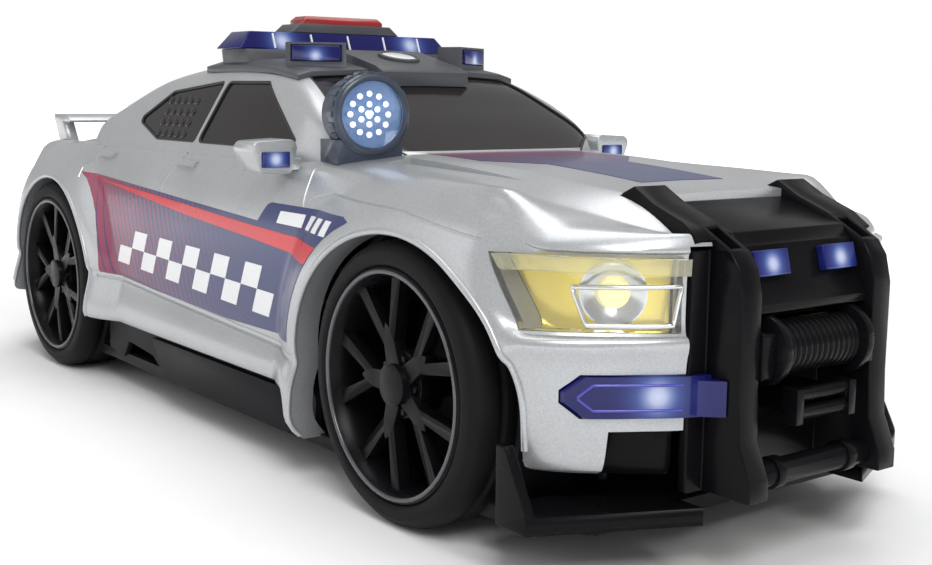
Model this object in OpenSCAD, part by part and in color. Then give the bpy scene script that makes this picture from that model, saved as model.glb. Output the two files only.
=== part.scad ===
// Toy police car with a push guard, a roof light bar and working wheels.
// Frame: +X to the front, +Y to the car's left, +Z up; the wheels stand on z = 0.

/* [Overall] */
// Length over the winch guard and the tail
car_length = 330; // [310:1:350]
// Width of the body across the doors
door_w = 106; // [102:1:110]
// How far the sides bow inwards from the middle to the ends
door_bow = 1; // [0.6:0.1:1.6]
// Distance between the two axles
wheelbase = 203; // [197:1:209]
// From the front axle to the foremost point of the guard
front_overhang = 70.5; // [67.5:0.5:73.5]
// Thickness of the moulded body walls
wall = 2; // [1.6:0.1:2.4]
// Gap left round pieces that drop into an opening
fit = 0.25; // [0.15:0.05:0.35]

/* [Body heights] */
// Bottom edge of the body sides above the ground
sill_z = 21; // [19:0.5:22]
// Crease above the rocker panel
rocker_z = 36; // [35:0.5:38]
// Shoulder where the door skin turns inwards
shoulder_z = 71; // [70:0.5:72]
// Belt line at the foot of the windows
belt_z = 77; // [76:0.5:79]
// Bonnet at its front end, on the centre line
bonnet_front_z = 73; // [72:0.5:74]
// Boot lid on the centre line
boot_z = 75.5; // [74.5:0.5:76.5]
// Top of the roof
roof_z = 101; // [98:0.5:103]

/* [Nose and tail] */
// How far the guard reaches ahead of the body's nose
guard_reach = 10; // [9:0.5:11]
// Width of the flat middle of the nose
nose_flat = 32; // [26:1:38]
// Length of each rounded nose corner
nose_corner = 39; // [36:1:41]
// Width of the flat middle of the tail
tail_flat = 76; // [68:1:82]
// Length of each rounded tail corner
tail_corner = 26; // [22:1:30]

/* [Wheel arches] */
// Gap between the top of the tyre and the wheel arch
arch_gap = 1.6; // [1.2:0.2:3]
// Length of the front arches as a share of their height
front_arch_stretch = 1.19; // [1.1:0.01:1.25]
// Length of the rear arches as a share of their height
rear_arch_stretch = 1.06; // [1.03:0.01:1.12]
// How far the arches stand out from the doors
flare_out = 4.6; // [3.2:0.2:5.6]
// Width of the swollen band round each arch
flare_w = 13; // [10:0.5:15]
// How far the rear feet of the front arches hang below the sills
flap_drop = 6; // [3:0.5:8]

/* [Cabin] */
// Width of the cabin at the belt line
cabin_w = 95; // [92:1:97]
// From the front axle back to the foot of the windscreen
windscreen_set = 32; // [29:0.5:35]
// Length of the windscreen, seen from above
windscreen_run = 44; // [41:1:48]
// From the rear axle forward to the foot of the rear window
rear_window_set = 2.5; // [0:0.5:6]
// Length of the rear window, seen from above
rear_window_run = 50; // [46:1:55]
// Inward lean of the cabin sides for each millimetre of height
cabin_lean = 0.5; // [0.42:0.02:0.56]

/* [Wheels] */
// Diameter of the tyres
tyre_d = 62; // [60:0.5:64]
// Width of the tyres
tyre_w = 22; // [19:0.5:24]
// Diameter of the wheel rims
rim_d = 51; // [47:0.5:53]
// Width over the outer faces of the tyres
over_tyres = 114; // [111:0.5:116]
// Diameter of the steel axles
axle_d = 4; // [3:0.25:5]
// Number of forked spokes
spokes = 5; // [4:1:7]

/* [Chassis] */
// Underside of the chassis above the ground
floor_z = 8; // [7:0.5:10]
// Thickness of the chassis floor
floor_t = 3; // [2.6:0.1:3.4]
// Diameter of one battery cell
cell_d = 14.5; // [14:0.1:15]
// Length of one battery cell
cell_l = 50.5; // [49:0.5:52]
// Number of battery cells
cells = 3; // [2:1:3]
// Diameter of the speaker
speaker_d = 36; // [30:1:40]
// Travel of the power switch
switch_travel = 4; // [3:0.5:5]

/* [Front guard] */
// Width over the guard's side plates
guard_w = 45; // [43:0.5:47]
// Thickness of each side plate
guard_t = 5.5; // [5:0.25:6]
// Radius of the winch drum over its turns
winch_r = 5.5; // [5:0.25:6]
// Number of turns shown on the winch drum
winch_turns = 14; // [10:1:18]
// Radius of the lower guard tube
tube_r = 2.6; // [2:0.1:3]

/* [Roof lights] */
// Width of the light bar
bar_w = 72; // [66:1:76]
// Depth of the light bar, front to back
bar_d = 15; // [14:0.5:17]
// Height of the blue light bar lens
bar_h = 5; // [4.5:0.25:6]
// Width of the press button on the light bar
button_w = 27; // [24:0.5:30]
// Travel of the press button
button_travel = 1.2; // [0.8:0.1:1.5]
// Diameter of the round spotlight on the cowl
spot_d = 19.5; // [18:0.5:21]

/* [Spoiler] */
// Width of the boot spoiler
spoiler_w = 86; // [80:1:90]
// Clear height under the spoiler blade
spoiler_gap = 5.5; // [4.75:0.25:6.5]

/* [Hidden] */
$fn = 48;
// Running clearance of the axles in their bearings, on the radius
run_gap = 0.05;
// Gap between pressed or seated pieces of one body
seat = 0.05;
// Overrun of cutting shapes past the faces they cut
over = 1;

// Main stations along the car
front_x = car_length / 2;
front_axle_x = front_x - front_overhang;
rear_axle_x = front_axle_x - wheelbase;
axle_z = tyre_d / 2;
arch_r = tyre_d / 2 + arch_gap;
well_r = arch_r + 0.6;
front_arch_l = arch_r * front_arch_stretch;
rear_arch_l = arch_r * rear_arch_stretch;
nose_x = front_x - guard_reach;
nose_corner_x = nose_x - nose_corner;
tail_x = -front_x;
tail_corner_x = tail_x + tail_corner;
screen_foot_x = front_axle_x - windscreen_set;
roof_front_x = screen_foot_x - windscreen_run;
rear_foot_x = rear_axle_x + rear_window_set;
roof_rear_x = rear_foot_x + rear_window_run;
half_w = door_w / 2;
cabin_half = cabin_w / 2;

// Lamp and bumper levels on the nose
light_low_z = rocker_z + 12;
light_top_z = shoulder_z - 7;
fog_low_z = sill_z + 11;
fog_top_z = rocker_z + 5.5;

// Guard pieces
guard_half = guard_w / 2;
grille_half = guard_half + 4.5;
ear_half = guard_half + 3.5;
winch_x = front_x - winch_r - 1.6;
winch_z = rocker_z + 8.5;
flange_r = winch_r + 1.6;
flange_t = 1.8;
// Back plate of the guard, clear of the winch flanges
plate_x = nose_x - 8.5;
plate_t = 2;
// Wings of the guard beside its side plates
wing_x = nose_x - 4;
winch_half = guard_half - guard_t - 5.5;
guard_foot_z = floor_z + 9;
tube_x = front_x - tube_r - 2;
tube_z = guard_foot_z + tube_r + 0.9;

// Chassis pieces
floor_top = floor_z + floor_t;
well_t = 1.4;
tyre_face = over_tyres / 2;
well_y = tyre_face - tyre_w - 3;
bearing_y = well_y - 7;
bay_len = cells * cell_d + 1;
bay_w = cell_l + 2.6;
bay_wall = 1.6;
door_t = 1.8;
door_lip = 3;
tab_r = 6;
tab_t = 3.4;
tab_y = bay_w / 2 + door_lip + 3;
head_r = 3;
head_sink = 1.6;
bay_x = (rear_axle_x + front_axle_x) / 2 - 24;
bay_top = floor_z + door_t + 0.4 + cell_d + 0.6;
speaker_x = bay_x + bay_len / 2 + bay_wall + speaker_d / 2 + 6;
board_t = 1.6;
post_h = 4;
boss_r = 3.6;
screw_r = 1.4;
boss_front_x = nose_x - 34;
boss_rear_x = tail_x + 20;
boss_y = 19;

// Roof pieces
bar_x = roof_front_x - 37;
bar_z = roof_z + 3.2;
bar_wall = 1.5;
bar_top = bar_z + bar_h;
collar_h = 2.6;
button_len = bar_d - 6.5;
button_low = bar_top + button_travel + 0.4;
button_h = 3.4;

// Helpers

function clamp01(t) = min(max(t, 0), 1);
function smooth(t) = let (u = clamp01(t)) u * u * (3 - 2 * u);
function ramp(x, from, to) = smooth((x - from) / (to - from));
function mix(a, b, t) = a + (b - a) * t;

// Slope of a point list at point i
function slope(p, i) =
    let (a = max(i - 1, 0), b = min(i + 1, len(p) - 1))
    (p[b][1] - p[a][1]) / (p[b][0] - p[a][0]);

// Height at x of a smooth curve through [x, height] points in rising order
function curve(x, p) =
    let (last = len(p) - 1)
    x <= p[0][0] ? p[0][1] :
    x >= p[last][0] ? p[last][1] :
    let (i = max([for (k = [0:last - 1]) if (p[k][0] <= x) k]),
         h = p[i + 1][0] - p[i][0],
         t = (x - p[i][0]) / h)
    (2 * t ^ 3 - 3 * t ^ 2 + 1) * p[i][1] + (t ^ 3 - 2 * t ^ 2 + t) * h * slope(p, i)
    + (3 * t ^ 2 - 2 * t ^ 3) * p[i + 1][1] + (t ^ 3 - t ^ 2) * h * slope(p, i + 1);

// Half width of a plan that is straight and ends in elliptical corners
function plan(x, half, front, front_from, front_half, rear, rear_from, rear_half) =
    let (f = clamp01((x - front_from) / (front - front_from)),
         r = clamp01((rear_from - x) / (rear_from - rear)))
    min(front_half + (half - front_half) * sqrt(1 - f * f),
        rear_half + (half - rear_half) * sqrt(1 - r * r));

// Stations along x: even steps between the corners, closer together towards the ends
function stations(rear, rear_from, front_from, front, corner_steps, steps) = concat(
    [for (i = [0:corner_steps - 1]) rear_from - (rear_from - rear) * cos(90 * i / corner_steps)],
    [for (i = [0:steps]) mix(rear_from, front_from, i / steps)],
    [for (i = [1:corner_steps]) front_from + (front - front_from) * sin(90 * i / corner_steps)]);

// Solid through a row of like rings, each listed clockwise as seen from +X
module loft(rings) {
    n = len(rings[0]);
    m = len(rings);
    function middle(r) = [r[0][0], 0, (min([for (p = r) p[2]]) + max([for (p = r) p[2]])) / 2];
    points = concat([for (r = rings) each r], [middle(rings[0]), middle(rings[m - 1])]);
    sides = [for (i = [0:m - 2]) for (j = [0:n - 1])
        let (a = i * n + j, b = i * n + (j + 1) % n) each [[a, b, b + n], [a, b + n, a + n]]];
    rear_cap = [for (j = [0:n - 1]) [(j + 1) % n, j, m * n]];
    front_cap = [for (j = [0:n - 1]) [(m - 1) * n + j, (m - 1) * n + (j + 1) % n, m * n + 1]];
    polyhedron(points, concat(sides, rear_cap, front_cap), convexity = 8);
}

// Whole ring at x from its right half, listed from the sill up to the middle
function ring(x, half) = concat([for (p = half) [x, -p[0], p[1]]],
    [for (i = [len(half) - 2:-1:0]) [x, half[i][0], half[i][1]]]);

// Block with a smaller top, standing on z = 0 and centred in x and y
module frustum(foot, top, height) {
    corners = [[-1, -1], [-1, 1], [1, 1], [1, -1]];
    polyhedron(
        concat([for (c = corners) [c[0] * foot[0] / 2, c[1] * foot[1] / 2, 0]],
               [for (c = corners) [c[0] * top[0] / 2, c[1] * top[1] / 2, height]]),
        [[0, 3, 2, 1], [4, 5, 6, 7], [0, 1, 5, 4], [1, 2, 6, 5], [2, 3, 7, 6], [3, 0, 4, 7]]);
}

// Outline drawn in x and z, given a thickness along y
module side_cut(y_from, y_to) {
    translate([0, y_to, 0]) rotate([90, 0, 0]) linear_extrude(y_to - y_from) children();
}

// Rounded outline over a list of corner points
module rounded(points, r) {
    hull() for (p = points) translate(p) circle(r, $fn = 16);
}

// The same piece on the car's right and on its left
module both_sides() {
    children();
    mirror([0, 1, 0]) children();
}

// Body form

// Door section: height and how far it stands out from the plan, from the sill upwards
DOOR = [[sill_z, -3], [sill_z + 0.8, 1.6], [sill_z + 6, 1.2], [rocker_z, -1.2], [rocker_z + 1.4, 0],
    [(rocker_z + shoulder_z) / 2 - 2, 0.4], [shoulder_z - 10, 0], [shoulder_z - 4, -1],
    [shoulder_z, -3], [belt_z - 1.8, -5.4]];
// Nose section at the same points, with the bumper shelf and the headlight band
NOSE = [[sill_z, -4], [sill_z + 1, -2], [fog_low_z - 1, -1.4], [fog_top_z + 1, -0.8], [light_low_z - 2.6, 1.2],
    [light_low_z - 0.8, 0.8], [light_low_z, -2.4], [light_top_z - 1, -1.8],
    [light_top_z, 0.2], [shoulder_z - 3.4, -4]];
// Deck points: share of the plan's half width, and share of the way from edge to crown
DECK = [[0.70, 0], [0.60, 0.35], [0.50, 0.85], [0, 1]];

// Height of the deck along the centre line: tail, boot, belt, bonnet and nose
function crown_z(x) = curve(x, [[tail_x, rocker_z + 4], [tail_x + 8, boot_z - 19], [tail_x + 17, boot_z - 8],
    [tail_x + 25, boot_z - 1], [tail_x + 34, boot_z], [rear_foot_x, boot_z + 1], [screen_foot_x, belt_z + 1],
    [nose_x - 20, bonnet_front_z + 0.6], [nose_x, bonnet_front_z - 5]]);
// Height of the deck's side edge
function edge_z(x) = curve(x, [[tail_x, rocker_z + 3], [tail_x + 8, boot_z - 20], [tail_x + 17, boot_z - 9.5],
    [tail_x + 25, boot_z - 3], [tail_x + 34, boot_z - 1.5], [rear_foot_x, boot_z - 0.5], [pillar_x, belt_z],
    [screen_foot_x, belt_z - 0.5], [front_axle_x + 10, bonnet_front_z + 0.4], [nose_x - 20, bonnet_front_z - 4],
    [nose_x, bonnet_front_z - 8.5]]);
// How far the side levels are pressed down towards the tail
function squeeze(x) = curve(x, [[tail_x, 0.4], [tail_x + 8, 0.65], [tail_x + 17, 0.85], [tail_x + 26, 0.97],
    [tail_x + 40, 1], [nose_x, 1]]);
// How far the sill hangs down behind the front wheel
function flap(x) = x > front_axle_x ? 0 :
    flap_drop * ramp(x, front_axle_x - front_arch_l - 9, front_axle_x - front_arch_l - 3);

// Swelling of one wheel arch, from 1 at its lip to 0 at its edge
function arch_swell(x, z, axle_x, stretch) =
    let (dx = abs(x - axle_x) / stretch,
         r = z > axle_z ? norm([dx, z - axle_z]) : dx,
         t = clamp01((r - arch_r) / flare_w))
    cos(90 * t);
function flare(x, z) = flare_out * max(arch_swell(x, z, front_axle_x, front_arch_stretch),
    arch_swell(x, z, rear_axle_x, rear_arch_stretch));

function body_plan(x, off) = plan(x, half_w - off, nose_x - off, nose_corner_x, nose_flat / 2 - off / 2,
    tail_x + off, tail_corner_x, tail_flat / 2 - off / 2) - bow(x);
// Inward bow of the sides, which grows towards the ends
function bow(x) = door_bow * (x / front_x) ^ 2;

function body_half(x, off, flared) =
    let (w = body_plan(x, off), n = ramp(x, nose_corner_x + 4, nose_corner_x + 18))
    concat(
        [for (k = [0:len(DOOR) - 1])
            let (level = mix(DOOR[k][0], NOSE[k][0], n),
                 out = mix(DOOR[k][1], NOSE[k][1], n) - bow(x) * (level - sill_z) / (belt_z - sill_z),
                 z = sill_z + (level - sill_z) * squeeze(x) - max(off, 0) * ramp(level, shoulder_z - 16, shoulder_z + 4),
                 hang = k < 3 ? flap(x) * (3 - k) / 3 : 0,
                 foot = k == 0 && off > 0)
            [w + out + (flared ? flare(x, z) : 0) - (foot ? 4 * bow(x) : 0),
             foot ? sill_z - flap_drop - over : z - hang]],
        [for (d = DECK) [d[0] * w, mix(edge_z(x), crown_z(x), d[1]) - off]]);

module body_solid(off, xs, flared) {
    loft([for (x = xs) ring(x, body_half(x, off, flared))]);
}

// Skin of the nose between two depths below the body's surface
module nose_skin(from, to, flared) {
    difference() {
        body_solid(from, nose_stations(from), flared);
        body_solid(to, nose_stations(to), flared);
    }
}
function nose_stations(off) = [for (x = stations(tail_x, tail_corner_x, nose_corner_x, nose_x - off, 9, 3))
    if (x >= nose_corner_x - 1) x];

// Skin of the tail between two depths below the body's surface
module tail_skin(from, to) {
    difference() {
        body_solid(from, tail_stations(from), false);
        body_solid(to, tail_stations(to), false);
    }
}
function tail_stations(off) = [for (x = stations(tail_x + off, tail_corner_x, nose_corner_x, nose_x, 9, 3))
    if (x <= tail_corner_x + 1) x];

// Cabin form

cabin_foot_z = belt_z - 2;

function roof_line(x) =
    let (low = belt_z - 1, high = roof_z - low)
    curve(x, [[rear_foot_x - 2, low], [mix(rear_foot_x, roof_rear_x, 0.5), low + 0.5 * high],
        [roof_rear_x, low + 0.86 * high], [mix(roof_rear_x, roof_front_x, 0.5), roof_z],
        [roof_front_x, low + 0.88 * high], [mix(roof_front_x, screen_foot_x, 0.5), low + 0.5 * high],
        [screen_foot_x + 2, low]]);

function cabin_plan(x, off) = plan(x, cabin_half - off, screen_foot_x + 2 - off, screen_foot_x - 30,
    10, rear_foot_x - 2 + off, rear_foot_x + 20, 28);

function cabin_half_ring(x, off, foot) =
    let (w = cabin_plan(x, off), top = roof_line(x) - off, h = top - cabin_foot_z,
         rail = w - cabin_lean * 0.8 * h)
    [[w, foot], [w, cabin_foot_z], [w - cabin_lean * 0.4 * h, cabin_foot_z + 0.42 * h],
     [w - cabin_lean * 0.72 * h, cabin_foot_z + 0.76 * h], [rail - 2.2, cabin_foot_z + 0.9 * h],
     [rail * 0.8, cabin_foot_z + 0.962 * h], [rail * 0.45, cabin_foot_z + 0.99 * h], [0, top]];

module cabin_solid(off, foot) {
    // A sunk cabin ends where its roof is still above its foot
    end = 2.5 * off;
    xs = stations(rear_foot_x - 2 + end, rear_foot_x + 20, screen_foot_x - 30, screen_foot_x + 2 - end, 5, 9);
    loft([for (x = xs) ring(x, cabin_half_ring(x, off, foot))]);
}

// Window outlines, drawn in x and z for the sides and in x and y for the screens
win_low = belt_z + 1.2;
win_top = roof_z - 6.2;
pillar_x = mix(roof_rear_x, roof_front_x, 0.5) + 1;
module front_side_window(shrink) {
    r = 1.5;
    rounded([[pillar_x + 0.4 + r + shrink, win_low + r + shrink], [pillar_x + 4 + r + shrink, win_top - r - shrink],
        [roof_front_x - 10 - shrink, win_top - r - shrink], [screen_foot_x - 29 - 2 * shrink, win_low + r + shrink]], r);
}
module rear_side_window(shrink) {
    r = 1.2;
    rounded([[pillar_x - 2.4 - r - shrink, win_low + r + shrink], [pillar_x + 1.2 - r - shrink, win_top - r - shrink],
        [roof_rear_x + 10 + shrink, win_top - 4 - shrink], [roof_rear_x - 4 + 2 * shrink, win_low + 5.4],
        [roof_rear_x + 11 + shrink, win_low + r + shrink]], r);
}
module windscreen_outline(shrink) {
    r = 2;
    half = cabin_half - 9.5 - shrink;
    for (side = [-1, 1]) hull() {
        translate([roof_front_x + 3 + shrink, side * (half - 8)]) circle(r, $fn = 16);
        translate([screen_foot_x - 13 - shrink, side * (half - r)]) circle(r, $fn = 16);
        translate([screen_foot_x - 3 - shrink, side * (half - 13)]) circle(r, $fn = 16);
        translate([roof_front_x + 1 + shrink, 0]) circle(r, $fn = 16);
        translate([screen_foot_x - 1 - shrink, 0]) circle(r, $fn = 16);
    }
}
module rear_window_outline(shrink) {
    half = cabin_half - 14 - shrink;
    for (side = [-1, 1]) rounded([[roof_rear_x - 8 - shrink, 0], [roof_rear_x - 8 - shrink, side * (half - 3)],
        [rear_foot_x + 9 + shrink, 0], [rear_foot_x + 9 + shrink, side * half]], 2);
}
module window_cuts(shrink) {
    both_sides() side_cut(-cabin_half - over, -cabin_half * 0.4) {
        front_side_window(shrink);
        rear_side_window(shrink);
    }
    translate([0, 0, belt_z + 1.5]) linear_extrude(roof_z) {
        windscreen_outline(shrink);
        rear_window_outline(shrink);
    }
}

// Lamp outlines

// Headlight seen from the side: pointed at its outer end
module headlight_outline(shrink) {
    top = light_top_z - 1.3 - shrink;
    low = light_low_z + 0.3 + shrink;
    polygon([[nose_corner_x + 8 + 2 * shrink, top], [nose_x + over, top],
        [nose_x + over, low], [nose_corner_x + 16 + shrink, low]]);
}
module headlight_cut(shrink) {
    side_cut(-half_w - 6, -grille_half - 1 - shrink) headlight_outline(shrink);
}
// Fog lamp seen from the front: a long bar with cut corners
module fog_cut(shrink) {
    c = 3;
    inner = guard_half + 0.2 + shrink;
    outer = half_w - 5.5 - shrink;
    low = fog_low_z + shrink;
    top = fog_top_z - 1 - shrink;
    translate([nose_corner_x + 4, 0, 0]) rotate([90, 0, 90]) linear_extrude(nose_corner)
        polygon([[-outer, low + c], [-outer, top - c], [c - outer, top], [-inner, top], [-inner, low], [c - outer, low]]);
}
// Opening below the fog lamp
module grille_cut(shrink) {
    translate([nose_corner_x + 6, 0, 0]) rotate([90, 0, 90]) linear_extrude(nose_corner)
        polygon([[-(half_w - 12) + shrink, sill_z - over], [-(half_w - 11) + shrink, fog_low_z - 2.5 - shrink],
            [-(guard_half - 4) - shrink, fog_low_z - 2.5 - shrink], [-(guard_half - 4) - shrink, sill_z - over]]);
}
// Tail lamp seen from the side
module tail_cut(shrink) {
    side_cut(-half_w - 6, -tail_flat * 0.28 - shrink) polygon([[tail_x - over, shoulder_z - 17 + shrink],
        [tail_corner_x - 3 - shrink, shoulder_z - 12 + shrink],
        [tail_corner_x + 1 - 2 * shrink, shoulder_z - 6 - shrink],
        [tail_x - over, shoulder_z - 6 - shrink]]);
}

// Guard outlines, drawn in x and z

module guard_side_outline() {
    polygon([[nose_x - 27.5, bonnet_front_z - 4], [nose_x - 22.5, bonnet_front_z + 0.6],
        [nose_x - 19.5, bonnet_front_z + 2],
        [nose_x - 14, bonnet_front_z - 1], [nose_x - 6, bonnet_front_z - 4], [nose_x + 3.2, bonnet_front_z - 9],
        [nose_x + 5.4, bonnet_front_z - 12], [nose_x + 6.6, bonnet_front_z - 17], [nose_x + 6.6, winch_z - flange_r],
        [nose_x + 7, fog_low_z - 4], [front_x, guard_foot_z + 4], [front_x, guard_foot_z], [plate_x, guard_foot_z],
        [plate_x, winch_z + 4], [nose_x - 2, winch_z + 9],
        [nose_x - 7, bonnet_front_z - 12], [nose_x - 12, bonnet_front_z - 8],
        [nose_x - 18, bonnet_front_z - 6]]);
}
// Wider shoulder of each side plate, with an ear that lies over the bonnet's edge
module guard_ear_outline() {
    polygon([[nose_x - 27.5, bonnet_front_z - 4], [nose_x - 22.5, bonnet_front_z + 0.6],
        [nose_x - 19.5, bonnet_front_z + 2],
        [nose_x - 14, bonnet_front_z - 1], [nose_x - 6, bonnet_front_z - 4], [nose_x - 1.5, bonnet_front_z - 7],
        [nose_x - 3.5, bonnet_front_z - 8.6], [nose_x - 12, bonnet_front_z - 8], [nose_x - 18, bonnet_front_z - 6]]);
}
module guard_panel_outline() {
    polygon([[nose_x - 18, bonnet_front_z - 1.4], [nose_x - 1.8, bonnet_front_z - 6], [nose_x - 0.6, bonnet_front_z - 8],
        [strobe_x, strobe_top], [strobe_x + 1.8, strobe_low],
        [nose_x + 5, winch_z + flange_r + 2], [nose_x + 5, winch_z + flange_r + 0.3],
        [nose_x - 1, winch_z + flange_r + 0.3], [nose_x - 3, strobe_low],
        [nose_x - 5, strobe_top - 2], [nose_x - 10, bonnet_front_z - 8],
        [nose_x - 18, bonnet_front_z - 4]]);
}
strobe_x = nose_x + 0.2;
strobe_top = bonnet_front_z - 8.6;
strobe_low = bonnet_front_z - 15.5;
pocket_top_z = light_top_z + 0.8;
// Space that the guard takes out of the nose
module guard_pocket() {
    side_cut(-guard_half - fit, guard_half + fit) polygon([[nose_x - 18 - fit, roof_z],
        [nose_x - 18 - fit, bonnet_front_z - 8], [nose_x - 12, bonnet_front_z - 16], [front_x + over, bonnet_front_z - 16], [front_x + over, roof_z]]);
    side_cut(-grille_half - fit, grille_half + fit)
        polygon([[plate_x - 0.5, pocket_top_z], [plate_x - 0.5, floor_z], [front_x + over, floor_z],
            [front_x + over, pocket_top_z]]);
    both_sides() {
        side_cut(-guard_half - fit, guard_t - guard_half + fit) offset(delta = fit) guard_side_outline();
        side_cut(-ear_half - fit, -guard_half) {
            offset(delta = fit) guard_ear_outline();
            polygon([[nose_x - 9, bonnet_front_z - 7.5], [front_x, bonnet_front_z - 7.5], [front_x, roof_z],
                [nose_x - 9, roof_z]]);
        }
    }
}

// Chassis

// Plan of the floor, kept inside the body
module floor_outline(off) {
    all_xs = stations(tail_x + off, tail_corner_x, nose_corner_x, nose_x - off, 8, 1);
    xs = [for (x = all_xs) if (x > tail_x + 6 && x < nose_x - 12) x];
    polygon(concat([for (x = xs) [x, -body_plan(x, off)]],
        [for (i = [len(xs) - 1:-1:0]) [xs[i], body_plan(xs[i], off)]]));
}

// Cylinder lying along y between two distances from the centre line, on the right
module lying(x, z, r, y_from, y_to) {
    translate([x, -y_from, z]) rotate([90, 0, 0]) cylinder(r = r, h = y_to - y_from);
}

// Block from its lowest corner to its highest
module block(low, high) {
    translate(low) cube(high - low);
}

module wheel_wells() {
    for (x = [front_axle_x, rear_axle_x]) both_sides() {
        intersection() {
            lying(x, axle_z, well_r + well_t, well_y - well_t, half_w - wall - 3);
            translate([x - 2 * arch_r, -door_w, floor_z]) cube([4 * arch_r, 2 * door_w, 4 * arch_r]);
        }
        block([x - 6, -well_y, floor_z], [x + 6, -bearing_y, axle_z + 6]);
    }
}

module chassis_base() color("#1c1c1e") {
    skirt = half_w - wall - 0.3;
    skirt_rear = rear_axle_x + rear_arch_l;
    skirt_front = front_axle_x - front_arch_l - 9.3;
    difference() {
        union() {
            translate([0, 0, floor_z]) linear_extrude(floor_t) floor_outline(wall + 0.3);
            both_sides() {
                // Side skirt with a block behind the rear wheel and a deep front part
                side_cut(-skirt, 1.8 - skirt) polygon([[skirt_rear, sill_z + 7], [skirt_rear, floor_z + 3.5],
                    [skirt_rear + 11, floor_z + 2], [skirt_rear + 15, sill_z - 5.5], [skirt_rear + 33, sill_z - 7],
                    [skirt_rear + 44, floor_z], [skirt_front, floor_z], [skirt_front, sill_z + 7]]);
                side_cut(-skirt - 1.6, 1 - skirt) polygon([[skirt_rear + 46, floor_z + 1], [skirt_rear + 36, sill_z - 1],
                    [skirt_front - 2, sill_z - 1], [skirt_front - 2, floor_z + 1]]);
            }
            wheel_wells();
            block([bay_x - bay_len / 2 - bay_wall, -bay_w / 2 - bay_wall, floor_z],
                [bay_x + bay_len / 2 + bay_wall, bay_w / 2 + bay_wall, bay_top + bay_wall]);
            for (x = [-1, 1], y = [-1, 1])
                translate([bay_x + x * (bay_len / 2 - 4), y * (bay_w / 2 - 4), bay_top])
                    cylinder(r = 3, h = bay_wall + post_h);
            translate([speaker_x, 0, floor_z]) cylinder(r = speaker_d / 2 + 1.8, h = floor_t + 3);
            translate([bay_x, tab_y, floor_z]) cylinder(r = tab_r + 1.6, h = 14);
        }
        // Wheel space, axle bearings
        for (x = [front_axle_x, rear_axle_x]) {
            both_sides() lying(x, axle_z, well_r, well_y, half_w + 6);
            lying(x, axle_z, axle_d / 2 + run_gap, -half_w, half_w);
        }
        // Battery bay with the seat of its door
        block([bay_x - bay_len / 2, -bay_w / 2, floor_z - over], [bay_x + bay_len / 2, bay_w / 2, bay_top]);
        block([bay_x - bay_len / 2 - door_lip, -bay_w / 2 - door_lip, floor_z - over],
            [bay_x + bay_len / 2 + door_lip, bay_w / 2 + door_lip, floor_z + door_t]);
        translate([bay_x, tab_y, floor_z - over]) {
            cylinder(r = tab_r, h = tab_t + over);
            cylinder(r = screw_r + seat, h = 13);
        }
        // Board screw holes
        for (x = [-1, 1], y = [-1, 1])
            translate([bay_x + x * (bay_len / 2 - 4), y * (bay_w / 2 - 4), bay_top + bay_wall])
                cylinder(r = screw_r + seat, h = 2 * post_h);
        // Speaker seat and sound slots
        translate([speaker_x, 0, floor_top]) cylinder(r = speaker_d / 2 + 0.2, h = 10);
        for (i = [-2:2]) translate([speaker_x + i * 5, 0, floor_z])
            cube([2, speaker_d * 0.6, 4 * floor_t], center = true);
        // Switch slot
        block([switch_x - 2.5 - 0.3, -2.8, floor_z - over],
            [switch_x + 2.5 + switch_travel + 0.3, 2.8, floor_top + over]);
        // Body screw holes with sunk heads
        for (x = [boss_front_x, boss_rear_x], y = [-boss_y, boss_y]) translate([x, y, floor_z - over]) {
            cylinder(r = screw_r + 0.2, h = 4 * floor_t);
            cylinder(r = head_r, h = over + head_sink);
        }
    }
}
switch_x = speaker_x + speaker_d / 2 + 10;

module screw(length) {
    difference() {
        union() {
            cylinder(r = head_r - 0.4, h = head_sink - 0.2);
            cylinder(r = screw_r, h = length);
        }
        translate([-2, -0.4, -over]) cube([4, 0.8, over + 0.7]);
        translate([-0.4, -2, -over]) cube([0.8, 4, over + 0.7]);
    }
}

module chassis_screws() color("#9a9ca0") {
    for (x = [boss_front_x, boss_rear_x], y = [-boss_y, boss_y]) translate([x, y, floor_z + 0.15]) screw(14);
}

module battery_door() color("#1c1c1e") {
    difference() {
        union() {
            block([bay_x - bay_len / 2 - door_lip + fit, -bay_w / 2 - door_lip + fit, floor_z],
                [bay_x + bay_len / 2 + door_lip - fit, bay_w / 2 + door_lip - fit, floor_z + door_t - seat]);
            translate([bay_x, tab_y, floor_z]) cylinder(r = tab_r - fit, h = tab_t - seat);
        }
        translate([bay_x, tab_y, floor_z - over]) {
            cylinder(r = screw_r + 0.2, h = 4 * tab_t);
            cylinder(r = head_r, h = over + head_sink);
        }
        for (i = [-2:2]) translate([bay_x + i * 5, -bay_w / 2 + 8, floor_z]) cube([1.6, 10, 1], center = true);
    }
}

module battery_door_screw() color("#9a9ca0") {
    translate([bay_x, tab_y, floor_z + 0.15]) screw(11);
}

function cell_at(i) = bay_x + (i - (cells - 1) / 2) * (cell_d + 0.2);
cell_z = floor_z + door_t + 0.4 + cell_d / 2;

module battery_cells() color("#3a6b4a") {
    for (i = [0:cells - 1]) {
        lying(cell_at(i), cell_z, cell_d / 2, -cell_l / 2 + 1.5, cell_l / 2);
        lying(cell_at(i), cell_z, 2.7, -cell_l / 2, -cell_l / 2 + 2);
    }
}

module battery_contacts() color("#b8b9b4") {
    for (i = [0:cells - 1]) both_sides() {
        block([cell_at(i) - 5, -bay_w / 2 + 0.1, cell_z - 5], [cell_at(i) + 5, -bay_w / 2 + 0.6, cell_z + 5]);
        lying(cell_at(i), cell_z, 2.5, cell_l / 2 + 0.1, bay_w / 2 - 0.5);
    }
}

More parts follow.
